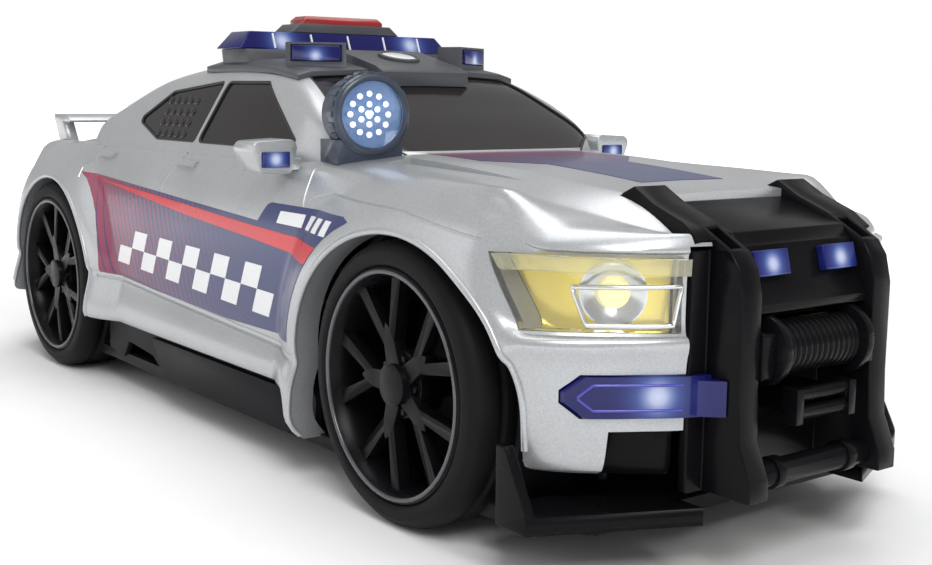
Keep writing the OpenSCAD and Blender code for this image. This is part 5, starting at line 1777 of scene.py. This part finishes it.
    def fog(self, side: Side) -> None:
        """Blue bar with a proud inner end and a paler edge.

        Args:
            side: Side of the car.
        """
        front, wing, grille, guard = CAR.nose_x + 4, CAR.nose_x - 4, CAR.grille_half, CAR.guard_half + 0.5
        low, top = CAR.fog_low_z, CAR.fog_top_z
        bar = Stock().prism(self.fog_outline(self.fit), "x", CAR.nose_corner_x + 4, front).scratch("tool")
        lens = combine(self.skin(-self.fog_out, 1.2), [bar], Cut.COMMON)
        outline = [(wing + 2, -grille), (CAR.nose_x + 0.4, -grille), (front, -guard), (wing + 2, -guard)]
        combine(lens, [Stock().prism(outline, "z", low + 0.8, top - 1.8).scratch("tool")], Cut.JOIN)
        seat = Stock().box((wing - 0.05, -grille - 0.05, 0), (wing + 2.05, 0, CAR.light_top_z))
        combine(lens, [seat.scratch("tool")])
        blue = Finishes.blue.named(f"fog_{side.label}")
        glow = self.paint.lens(blue, [beside(self.fog_at, side)], self.fog_reach)
        add_piece(self.place(lens, side, "fog_bar"), glow, replaces=[f"{side.label}_fog_lens"],
                  bevel=0.35)
        outer, inner, cut = CAR.half_w - 7.6, grille + 1.6, 2.2
        ring = fine_line([(-inner, top - 2.8), (cut - outer, top - 2.8), (-outer, top - 5.0),
                          (-outer, low + 4.0), (cut - outer, low + 1.8), (-inner, low + 1.8)], 1.2)
        row = [(CAR.nose_at(y, z, -self.fog_out) + 0.05, y, z) for y, z in ring]
        edge = Stock().tube(row, self.fog_edge, across=self.out).scratch("fog_edge")
        add_piece(self.place(edge, side, "fog_edge"), self.paint.plain(Finishes.violet),
                  angle=60)

    def tail(self, side: Side) -> None:
        """Red corner lamp.

        Args:
            side: Side of the car.
        """
        inner = -CAR.tail_half * 0.56 - self.fit
        tool = Stock().prism(self.tail_outline(self.fit), "y", -CAR.half_w - 6, inner).scratch("tool")
        lens = combine(self.skin(0.0, 1.5, End.REAR, flared=False), [tool], Cut.COMMON)
        glow = self.paint.lens(Finishes.red.named(f"tail_{side.label}"), [beside(self.tail_at, side)],
                               self.tail_reach, self.tail_light)
        add_piece(self.place(lens, side, "tail_lamp"), glow, replaces=[f"{side.label}_tail_lens"],
                  bevel=0.3)


@dataclass
class Glazing:
    """Smoked windows in one moulding, with their dark edges and drops."""

    paint: Paintbox
    depth: float = 0.5
    thick: float = 2.1
    fit: float = 0.12
    trim: float = 0.42
    trim_out: float = 0.05
    trim_depth: float = 0.25
    trim_step: float = 1.5
    drop_at: Flat = (-38.2, 84.8)
    drop_out: Flat = (0.903, 0.429)

    def build(self) -> None:
        """Makes the panes, their trims and drops."""
        smoked = self.paint.plain(Finishes.smoked)
        panes = cabin_loft(self.depth, 75.0).scratch("windows")
        combine(panes, [cabin_loft(self.depth + self.thick, 70.0, 12, 40).scratch("window_room")])
        tools = window_tools(self.fit)
        combine(panes, [combine(tools[0], tools[1:], Cut.JOIN)], Cut.COMMON)
        add_piece(panes, smoked, replaces=["window_insert"])
        self.trims()
        self.drops()

    def trims(self) -> None:
        """Dark edges round all windows."""
        stock = Stock()
        for end in End:
            x, z = fine_line(side_window(end, -self.trim_out), self.trim_step, closed=True).T
            row = np.stack([x, -CAR.cabin_y(x, z, self.trim_depth), z], axis=1)
            stock.tube(row, self.trim, closed=True)
        stock.mirrored()
        for end in End:
            x, y = fine_line(screen(end, -self.trim_out), self.trim_step, closed=True).T
            row = np.stack([x, y, CAR.cabin_z(x, y, self.trim_depth)], axis=1)
            stock.tube(row, self.trim, closed=True, across=(0, 0, 1))
        add_piece(stock.scratch("window_trims"), self.paint.plain(Finishes.trim), angle=60)

    def drops(self) -> None:
        """Upright drops embossed on the rear side windows."""
        smoked = self.paint.plain(Finishes.smoked)
        x, z = self.drop_at
        drops = Repeater(Layout.GRID, Form.DOME, 5, (1.5, 1.4, 0.55), rows=4, step=(4.4, 3.5))
        for side in Side:
            middle = (x, side.value * float(CAR.cabin_y(x, z, self.depth)), z)
            place = facing(middle, (0, self.drop_out[0] * side.value, self.drop_out[1]))
            obj = drops.make(f"{side.label}_window_drops", place, smoked)
            add_piece(obj, smoked, angle=60)


@dataclass
class FrontGuard:
    """Black push guard with winch, strobes and fairlead."""

    paint: Paintbox
    strobe_at: Place = (158.0, 10.3, 61.0)
    strobe_reach: float = 7.0

    @staticmethod
    def ear_outline() -> list[Flat]:
        """Ear over the bonnet's edge in x and z."""
        n, b = CAR.nose_x, CAR.bonnet_z
        return [(n - 27.5, b - 4), (n - 22.5, b + 0.6), (n - 19.5, b + 2), (n - 14, b - 1), (n - 6, b - 4),
                (n - 1.5, b - 7), (n - 3.5, b - 8.6), (n - 12, b - 8), (n - 18, b - 6)]

    @staticmethod
    def pocket_tools(fit: float = 0.25, high: float = 130.0) -> list[Object]:
        """Solids that make room for the guard in the nose.

        Args:
            fit: Gap round the guard.
            high: Height above all of the nose.

        Returns:
            The cutting objects.
        """
        n, b, front, top = CAR.nose_x, CAR.bonnet_z, CAR.nose_x + 14, CAR.light_top_z + 0.8
        inner, wide, ear = CAR.guard_half + fit, CAR.grille_half + fit, CAR.ear_half + fit
        upper = [(n - 18.25, high), (n - 18.25, b - 8), (n - 12, b - 16), (front, b - 16), (front, high)]
        lower = [(n - 9, top), (n - 9, 4), (front, 4), (front, top)]
        above = [(n - 9, b - 7.5), (front, b - 7.5), (front, high), (n - 9, high)]
        ears = Stock().prism(FrontGuard.ear_outline(), "y", -ear, -CAR.guard_half).mirrored()
        tops = Stock().prism(above, "y", -ear, -CAR.guard_half).mirrored()
        return [Stock().prism(upper, "y", -inner, inner).scratch("upper_room"),
                Stock().prism(lower, "y", -wide, wide).scratch("lower_room"),
                ears.scratch("ear_room"), tops.scratch("ear_top_room")]

    def dress(self) -> None:
        """Finishes of the guard's nodes."""
        black = self.paint.plain(Finishes.black)
        for name, width in (("guard_frame", 0.5), ("guard_panel", 0.4), ("winch_drum", 0.15),
                            ("winch_housings", 0.5), ("fairlead", 0.3), ("guard_tube", 0.2),
                            ("front_splitter", 0.4), ("bumper_grilles", 0.1)):
            dress_node(name, black, width)
        spots = [beside(self.strobe_at, side) for side in Side]
        blue = self.paint.lens(Finishes.blue.named("strobe_blue"), spots, self.strobe_reach)
        dress_node("strobe_lenses", blue, 0.4)


@dataclass
class RoofLights:
    """Roof rack, pods, light bar, siren disc and press button."""

    paint: Paintbox
    travel: float = 1.3
    bar_at: Place = (-11.0, 22.0, 107.0)
    bar_reach: float = 10.0
    pod_at: Place = (15.0, 27.0, 102.0)
    pod_reach: float = 6.0
    rib_at: Place = (-12.0, 0.0, 106.6)
    rib_lean: float = -21.8
    rib_size: Place = (0.5, 0.7, 4.4)
    rib_count: int = 5
    rib_step: float = 12.4
    siren_at: Place = (14.4, 0.0, 102.0)
    siren_out: Place = (0.23, 0.0, 0.973)
    disc_profile: Row = ((0.0, -0.8), (4.9, -0.8), (4.9, 0.45), (4.5, 0.62), (0.0, 0.62))
    rim_profile: Row = ((4.95, -0.8), (5.9, -0.8), (5.9, 0.7), (5.6, 0.95), (5.2, 0.95), (4.95, 0.7))

    def dress(self) -> None:
        """Finishes of the roof's nodes, and its small pieces."""
        rack = self.paint.plain(Finishes.rack)
        dress_node("roof_rack", rack, 0.4)
        dress_node("light_bar_collar", rack, 0.3)
        dress_node("light_bar_board", self.paint.plain(Finishes.white), 0.1)
        dress_node("press_button", self.paint.plain(Finishes.button), 0.4)
        self.spring()
        spots = [beside(self.bar_at, side) for side in Side]
        blue = self.paint.lens(Finishes.blue.named("bar_blue"), spots, self.bar_reach)
        dress_node("light_bar_lens", blue, 0.5)
        for side in Side:
            pod = Finishes.blue.named(f"pod_{side.label}")
            glow = self.paint.lens(pod, [beside(self.pod_at, side)], self.pod_reach)
            dress_node(f"{side.label}_pod_lens", glow, 0.4)
        self.ribs()
        self.siren()

    def ribs(self) -> None:
        """Pale ribs across the light bar's lens."""
        pale = self.paint.plain(Finishes.chalk)
        place = (Matrix.Translation(self.rib_at) @ Matrix.Rotation(math.radians(self.rib_lean), 4, "Y")
                 @ Matrix.Rotation(math.pi / 2, 4, "Z"))
        row = Repeater(Layout.ROW, Form.BLOCK, self.rib_count, self.rib_size, step=(self.rib_step, 0.0))
        add_piece(row.make("light_bar_ribs", place, pale), pale)

    def siren(self) -> None:
        """Plain disc with a rim on the siren nose."""
        pale, rack = self.paint.plain(Finishes.chalk), self.paint.plain(Finishes.rack)
        slope = facing(self.siren_at, self.siren_out, (-1, 0, 0))
        add_piece(Stock().spin(self.disc_profile, slope).scratch("siren_disc"), pale)
        add_piece(Stock().spin(self.rim_profile, slope).scratch("siren_rim"), rack, angle=50)

    def spring(self) -> None:
        """Rubber dome under the button, copied from its node."""
        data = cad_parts["button_dome"].data.copy()
        soft = link(bpy.data.objects.new("button_spring", data))
        add_piece(soft, self.paint.plain(Finishes.dome), replaces=["button_dome"], angle=40)
        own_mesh(soft)


@dataclass
class Spotlight:
    """Round lamp on the cowl."""

    paint: Paintbox
    place: Place = (54.5, -36.5, 87.4)
    turn: float = -10.0
    dot_size: Place = (0.72, 0.72, 0.4)
    dot_rings: tuple[tuple[str, int, float], ...] = (("inner", 6, 2.3), ("outer", 12, 4.7),
                                                     ("middle", 3, 0.35))
    dot_z: float = 1.95
    grip_count: int = 24
    grip_size: Place = (0.9, 1.3, 3.2)
    grip_r: float = 9.75
    grip_z: float = 1.7
    brim_profile: Row = ((8.0, 4.2), (8.9, 4.2), (9.3, 4.6), (8.9, 5.0), (8.2, 5.0), (7.9, 4.6))

    def dress(self) -> None:
        """Finishes of the lamp's nodes, with its dots, grip and brim."""
        white, grey = self.paint.plain(Finishes.led), self.paint.plain(Finishes.spot)
        dress_node("spotlight_housing", grey, 0.3)
        dress_node("spotlight_reflector", self.paint.plain(Finishes.spot_back))
        dress_node("spotlight_lens", self.paint.plain(Finishes.clear), 0.2)
        aim = (Matrix.Translation(self.place) @ Matrix.Rotation(math.radians(self.turn), 4, "Z")
               @ Matrix.Rotation(math.pi / 2, 4, "Y"))
        for name, count, reach in self.dot_rings:
            dots = Repeater(Layout.RING, Form.DOME, count, self.dot_size, reach=reach)
            obj = dots.make(f"spotlight_{name}_dots", aim @ Matrix.Translation((0, 0, self.dot_z)), white)
            add_piece(obj, white, angle=60)
        notches = Repeater(Layout.RING, Form.BLOCK, self.grip_count, self.grip_size, reach=self.grip_r)
        grip = notches.make("spotlight_grip", aim @ Matrix.Translation((0, 0, self.grip_z)), grey)
        add_piece(grip, grey)
        brim = Stock().spin(self.brim_profile, aim).scratch("spotlight_brim")
        add_piece(brim, grey, angle=50)


@dataclass
class RunningGear:
    """Wheels, tyres and axles, with a painted highlight round each rim."""

    paint: Paintbox
    rim_r: float = 24.4
    rim: float = 0.55
    rim_sink: float = 0.3
    rim_steps: int = 96

    def dress(self) -> None:
        """Finishes of the wheels' nodes, and the pale rings painted round their rims as a highlight."""
        for end in End:
            dress_node(f"{end.value}_axle", self.paint.plain(Finishes.steel))
            for side in Side:
                dress_node(f"{end.value}_{side.label}_wheel", self.paint.plain(Finishes.wheel), 0.35)
                dress_node(f"{end.value}_{side.label}_tyre", self.paint.plain(Finishes.tyre), 0.3)
                self.rim_line(end, side)

    def rim_line(self, end: End, side: Side) -> None:
        """Thin pale ring round a wheel: a painted highlight of the rim's edge, glossier than the wheel.

        Args:
            end: End of the car.
            side: Side of the car.
        """
        low, high = (Vector(v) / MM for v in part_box(f"{end.value}_{side.label}_wheel"))
        y = (low.y if side is Side.RIGHT else high.y) - self.rim_sink * side.value
        ring = [((low.x + high.x) / 2 + self.rim_r * math.cos(a), y, CAR.axle_z + self.rim_r * math.sin(a))
                for a in np.linspace(0, 2 * math.pi, self.rim_steps, endpoint=False)]
        # Paler ring laid on the wheel as a painted highlight of its rim.
        piece = Stock().tube(ring, self.rim, closed=True).scratch(f"{end.value}_{side.label}_rim_line")
        add_piece(piece, self.paint.plain(Finishes.rim), body=f"{end.value}_wheels", angle=60)


@dataclass
class Trimmings:
    """Mirrors, spoiler and what sits under the body."""

    paint: Paintbox
    mirror_at: Place = (44.0, 55.0, 76.5)
    mirror_reach: float = 6.0
    skirt_end: Row = ((46.0, 9.0), (53.6, 9.0), (53.6, 19.0), (50.0, 24.0), (46.0, 24.0))
    skirt_y: Flat = (-50.1, -48.6)

    def dress(self) -> None:
        """Finishes of the remaining nodes, and the skirt's ends."""
        silver = self.paint.metallic(Finishes.silver)
        dress_node("spoiler", silver, 0.5)
        for side in Side:
            dress_node(f"{side.label}_mirror", silver, 0.5)
            blue = Finishes.blue.named(f"mirror_{side.label}")
            glow = self.paint.lens(blue, [beside(self.mirror_at, side)], self.mirror_reach)
            dress_node(f"{side.label}_mirror_light", glow, 0.3)
        dark = self.paint.plain(Finishes.skirt)
        ends = Stock().prism(self.skirt_end, "y", *self.skirt_y).mirrored()
        add_piece(ends.scratch("skirt_ends"), dark)
        for name in ("chassis_base", "battery_door", "power_switch_body"):
            dress_node(name, dark, 0.3)
        rest = (("battery_door_screw", Finishes.steel, 0.1), ("board_screws", Finishes.steel, 0.1),
                ("battery_contacts", Finishes.steel, 0.1), ("chassis_screws", Finishes.screw, 0.1),
                ("battery_cells", Finishes.sleeve, 0.3), ("speaker", Finishes.cone, 0.2),
                ("circuit_board", Finishes.board, 0.1), ("power_switch_knob", Finishes.white, 0.2))
        for name, finish, width in rest:
            dress_node(name, self.paint.plain(finish), width)


@dataclass
class Livery:
    """Printed panels and stripes on the doors and the bonnet."""

    paint: Paintbox
    lift: float = 0.1
    crease: float = 28.0
    arch_gap: float = 3.6
    panel_rear: Row = ((-86.4, 66.6), (-81.5, 64.6), (-77.9, 61.9), (-74.6, 58.4), (-72.0, 54.6),
                                    (-69.6, 48.1), (-68.3, 41.3), (-68.2, 36.4))
    panel_foot: Row = ((-34.0, 34.6), (11.5, 33.2))
    panel_front: Flat = (33.6, 64.4)
    panel_tab: Row = ((75.2, 65.4), (36.4, 65.6), (34.6, 65.0), (33.4, 63.9), (30.2, 60.6),
                                   (-32.0, 63.9))
    stripe_low: Row = ((-78.5, 65.1), (-10.0, 58.7), (27.3, 56.0))
    stripe_front: Flat = (53.2, 57.6)
    stripe_top: Row = ((27.1, 59.3), (-10.2, 61.5))
    chequer_x: Flat = (-60.0, 36.0)
    chequer_low: Flat = (40.6, 37.0)
    chequer_top: Flat = (51.2, 49.4)
    chequer_lean: float = 6.0
    columns: int = 11
    rows: int = 2
    bar_places: Row = ((40.0, 12.0), (54.5, 3.4), (60.0, 3.4), (65.5, 3.4))
    bar_z: Flat = (60.9, 63.9)
    bar_lean: float = 1.6
    bar_fall: float = 0.02
    bonnet_half: Row = ((58.0, 22.5), (83.0, 23.5), (94.0, 12.5), (124.0, 12.5))
    hatch_red: Colour = (0.30, 0.035, 0.07)

    def build(self) -> None:
        """Makes all prints on both sides."""
        chalk = self.paint.plain(Finishes.chalk)
        navy, red = self.panel_print("door_print", -0.09, 0.035), self.paint.plain(Finishes.stripe)
        for name, outlines, lift, finish in (("door_panel", [self.panel()], self.lift, navy),
                                             ("door_stripe", [self.stripe()], 2 * self.lift, red),
                                             ("door_chequer", self.chequer(), 2 * self.lift, chalk),
                                             ("door_bars", self.bars(), 2 * self.lift, chalk)):
            right = on_skin(f"right_{name}", outlines, "y", lift)
            for obj in (mirror_copy(right, f"left_{name}"), right):
                add_piece(obj, finish, angle=self.crease)
        bonnet = on_skin("bonnet_panel", [self.bonnet()], "z", self.lift)
        add_piece(bonnet, self.panel_print("bonnet_print", 0.05, 0.11), angle=self.crease)

    def arch_edge(self, low: float, high: float, steps: int = 14) -> list[Flat]:
        """Points up the rear side of the front wheel arch, a little way out from it.

        Args:
            low: Height of the first point.
            high: Height of the last point.
            steps: Number of points.

        Returns:
            Points in x and z.
        """
        axle_x, stretch = CAR.axle(End.FRONT)
        r = CAR.arch_r + self.arch_gap
        return [(axle_x - stretch * math.sqrt(r * r - (z - CAR.axle_z) ** 2), z)
                for z in np.linspace(low, high, steps)]

    def panel(self) -> list[Flat]:
        """Door panel with its raised tab, in x and z."""
        return [*self.panel_rear, *self.panel_foot, *self.arch_edge(*self.panel_front), *self.panel_tab]

    def stripe(self) -> list[Flat]:
        """Stripe that widens towards the front wheel, in x and z."""
        return [*self.stripe_low, *self.arch_edge(*self.stripe_front, 5), *self.stripe_top]

    def chequer(self) -> list[list[Flat]]:
        """Slanted chequer cells, in x and z."""
        corners = ((0, 0), (1, 0), (1, 1), (0, 1))
        return [[self.chequer_point(i + a, row + b) for a, b in corners]
                for row in range(self.rows) for i in range(row, self.columns, 2)]

    def chequer_point(self, column: int, row: int) -> Flat:
        """Corner of the chequer band, by its column and row."""
        t, v = column / self.columns, row / self.rows
        return (mix(*self.chequer_x, t) + self.chequer_lean * v,
                mix(mix(*self.chequer_low, t), mix(*self.chequer_top, t), v))

    def bars(self) -> list[list[Flat]]:
        """Short bars on the panel's tab, in x and z.

        Returns:
            Corner points of each bar.
        """
        first, (low, top), lean = self.bar_places[0][0], self.bar_z, self.bar_lean
        return [[(x, low - self.bar_fall * (x - first)), (x + w, low - self.bar_fall * (x + w - first)),
                 (x + w + lean, top), (x + lean, top)] for x, w in self.bar_places]

    def bonnet(self) -> list[Flat]:
        """Bonnet panel in x and y."""
        return [(x, -y) for x, y in self.bonnet_half] + list(self.bonnet_half[::-1])

    def panel_print(self, name: str, start: float, end: float) -> Material:
        """Navy print with slanted red lines that fade out along the car.

        Args:
            name: Name of the material.
            start: Place in metres where the lines are widest.
            end: Place in metres where they are gone.

        Returns:
            The material.
        """
        mat, pen, shader, where, colour = self.paint.start(Finishes.navy.named(name))
        hatch = pen.node("ShaderNodeGroup", node_tree=self.paint.hatch, From=start, To=end,
                         Vector=where.outputs["Object"])
        tint = pen.blend(hatch.outputs["Mask"], colour, self.hatch_red)
        pen.join(tint, shader.inputs["Base Color"])
        return mat


@dataclass(frozen=True)
class Softbox:
    """One soft studio lamp, in metres."""

    name: str
    place: Place
    aim: Place
    power: float
    size: float


@dataclass
class Studio:
    """Camera, lights and floor."""

    eye: Place = (0.3208, -0.2068, 0.0931)
    yaw: float = 142.96
    pitch: float = -8.33
    roll: float = 0.65
    lens: float = 50.44
    sensor: float = 36.0
    near: float = 0.01
    floor_half: float = 6.0
    paper: Flat = (0.9, 0.93)
    fade: Flat = (0.22, 0.75)
    world: Flat = (0.42, 1.0)
    lamps: tuple[Softbox, ...] = (Softbox("key", (0.75, -0.35, 0.8), (0.05, 0.0, 0.05), 6.0, 0.5),
                                  Softbox("fill", (-0.5, -0.9, 0.5), (0.0, 0.0, 0.05), 1.6, 0.8),
                                  Softbox("top", (-0.1, 0.15, 1.1), (0.0, 0.0, 0.05), 6.6, 0.9))

    def build(self) -> None:
        """Sets up the whole studio."""
        self.camera()
        self.floor()
        self.lights()
        bpy.context.scene.view_settings.view_transform = "Standard"

    def camera(self) -> None:
        """Camera at the photograph's viewing angle."""
        data = bpy.data.cameras.new("camera")
        data.sensor_width = self.sensor
        data.lens = self.lens
        data.clip_start = self.near
        obj = link(bpy.data.objects.new("camera", data))
        yaw, pitch = math.radians(self.yaw), math.radians(self.pitch)
        ahead = Vector((math.cos(pitch) * math.cos(yaw), math.cos(pitch) * math.sin(yaw), math.sin(pitch)))
        turn = ahead.to_track_quat("-Z", "Y") @ Quaternion((0, 0, 1), math.radians(self.roll))
        obj.matrix_world = Matrix.Translation(self.eye) @ turn.to_matrix().to_4x4()
        bpy.context.scene.camera = obj

    def floor(self) -> None:
        """Pale floor that keeps the shadow and fades to white."""
        h = self.floor_half
        data = bpy.data.meshes.new("floor")
        data.from_pydata([(-h, -h, 0), (h, -h, 0), (h, h, 0), (-h, h, 0)], [], [(0, 1, 2, 3)])
        obj = link(bpy.data.objects.new("floor", data))
        mat = bpy.data.materials.new("floor_paper")
        mat.use_nodes = True
        pen = Pen(mat.node_tree)
        shader = mat.node_tree.nodes["Principled BSDF"]
        where = pen.node("ShaderNodeTexCoord")
        noise = pen.node("ShaderNodeTexNoise", Scale=60.0, Detail=3.0, Vector=where.outputs["Object"])
        tone = pen.blend(noise.outputs["Fac"], *([level] * 3 for level in self.paper))
        far = pen.node("ShaderNodeVectorMath", operation="LENGTH")
        pen.join(where.outputs["Object"], far.inputs[0])
        fade = pen.node("ShaderNodeMapRange", interpolation_type="SMOOTHSTEP", From_Min=self.fade[0],
                        From_Max=self.fade[1], Value=far.outputs["Value"])
        for label, value in (("Base Color", tone), ("Roughness", 0.9), ("Specular IOR Level", 0.1),
                             ("Emission Color", (1.0, 1.0, 1.0)),
                             ("Emission Strength", fade.outputs["Result"])):
            pen.feed(shader.inputs[label], value)
        data.materials.append(mat)

    def lights(self) -> None:
        """Soft studio lamps and a white world."""
        world = bpy.data.worlds.new("studio")
        bpy.context.scene.world = world
        world.use_nodes = True
        pen = Pen(world.node_tree)
        back = world.node_tree.nodes["Background"]
        path = pen.node("ShaderNodeLightPath")
        level = pen.node("ShaderNodeMapRange", To_Min=self.world[0], To_Max=self.world[1],
                         Value=path.outputs["Is Camera Ray"])
        pen.join(level.outputs["Result"], back.inputs["Strength"])
        back.inputs["Color"].default_value = (1, 1, 1, 1)
        for lamp in self.lamps:
            data = bpy.data.lights.new(lamp.name, "AREA")
            data.energy = lamp.power
            data.size = lamp.size
            obj = link(bpy.data.objects.new(lamp.name, data))
            turn = (Vector(lamp.aim) - Vector(lamp.place)).to_track_quat("-Z", "Y")
            obj.matrix_world = Matrix.Translation(lamp.place) @ turn.to_matrix().to_4x4()


def main() -> None:
    """Builds the studio and dresses the car, piece by piece."""
    logging.basicConfig(level=logging.INFO, format="%(message)s")
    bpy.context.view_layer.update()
    Studio().build()
    paint = Paintbox()
    for group in (Shell(paint), Glazing(paint), Lamps(paint), Livery(paint)):
        group.build()
    for group in (FrontGuard(paint), RoofLights(paint), Spotlight(paint), RunningGear(paint),
                  Trimmings(paint)):
        group.dress()


if __name__ == "__main__":
    main()
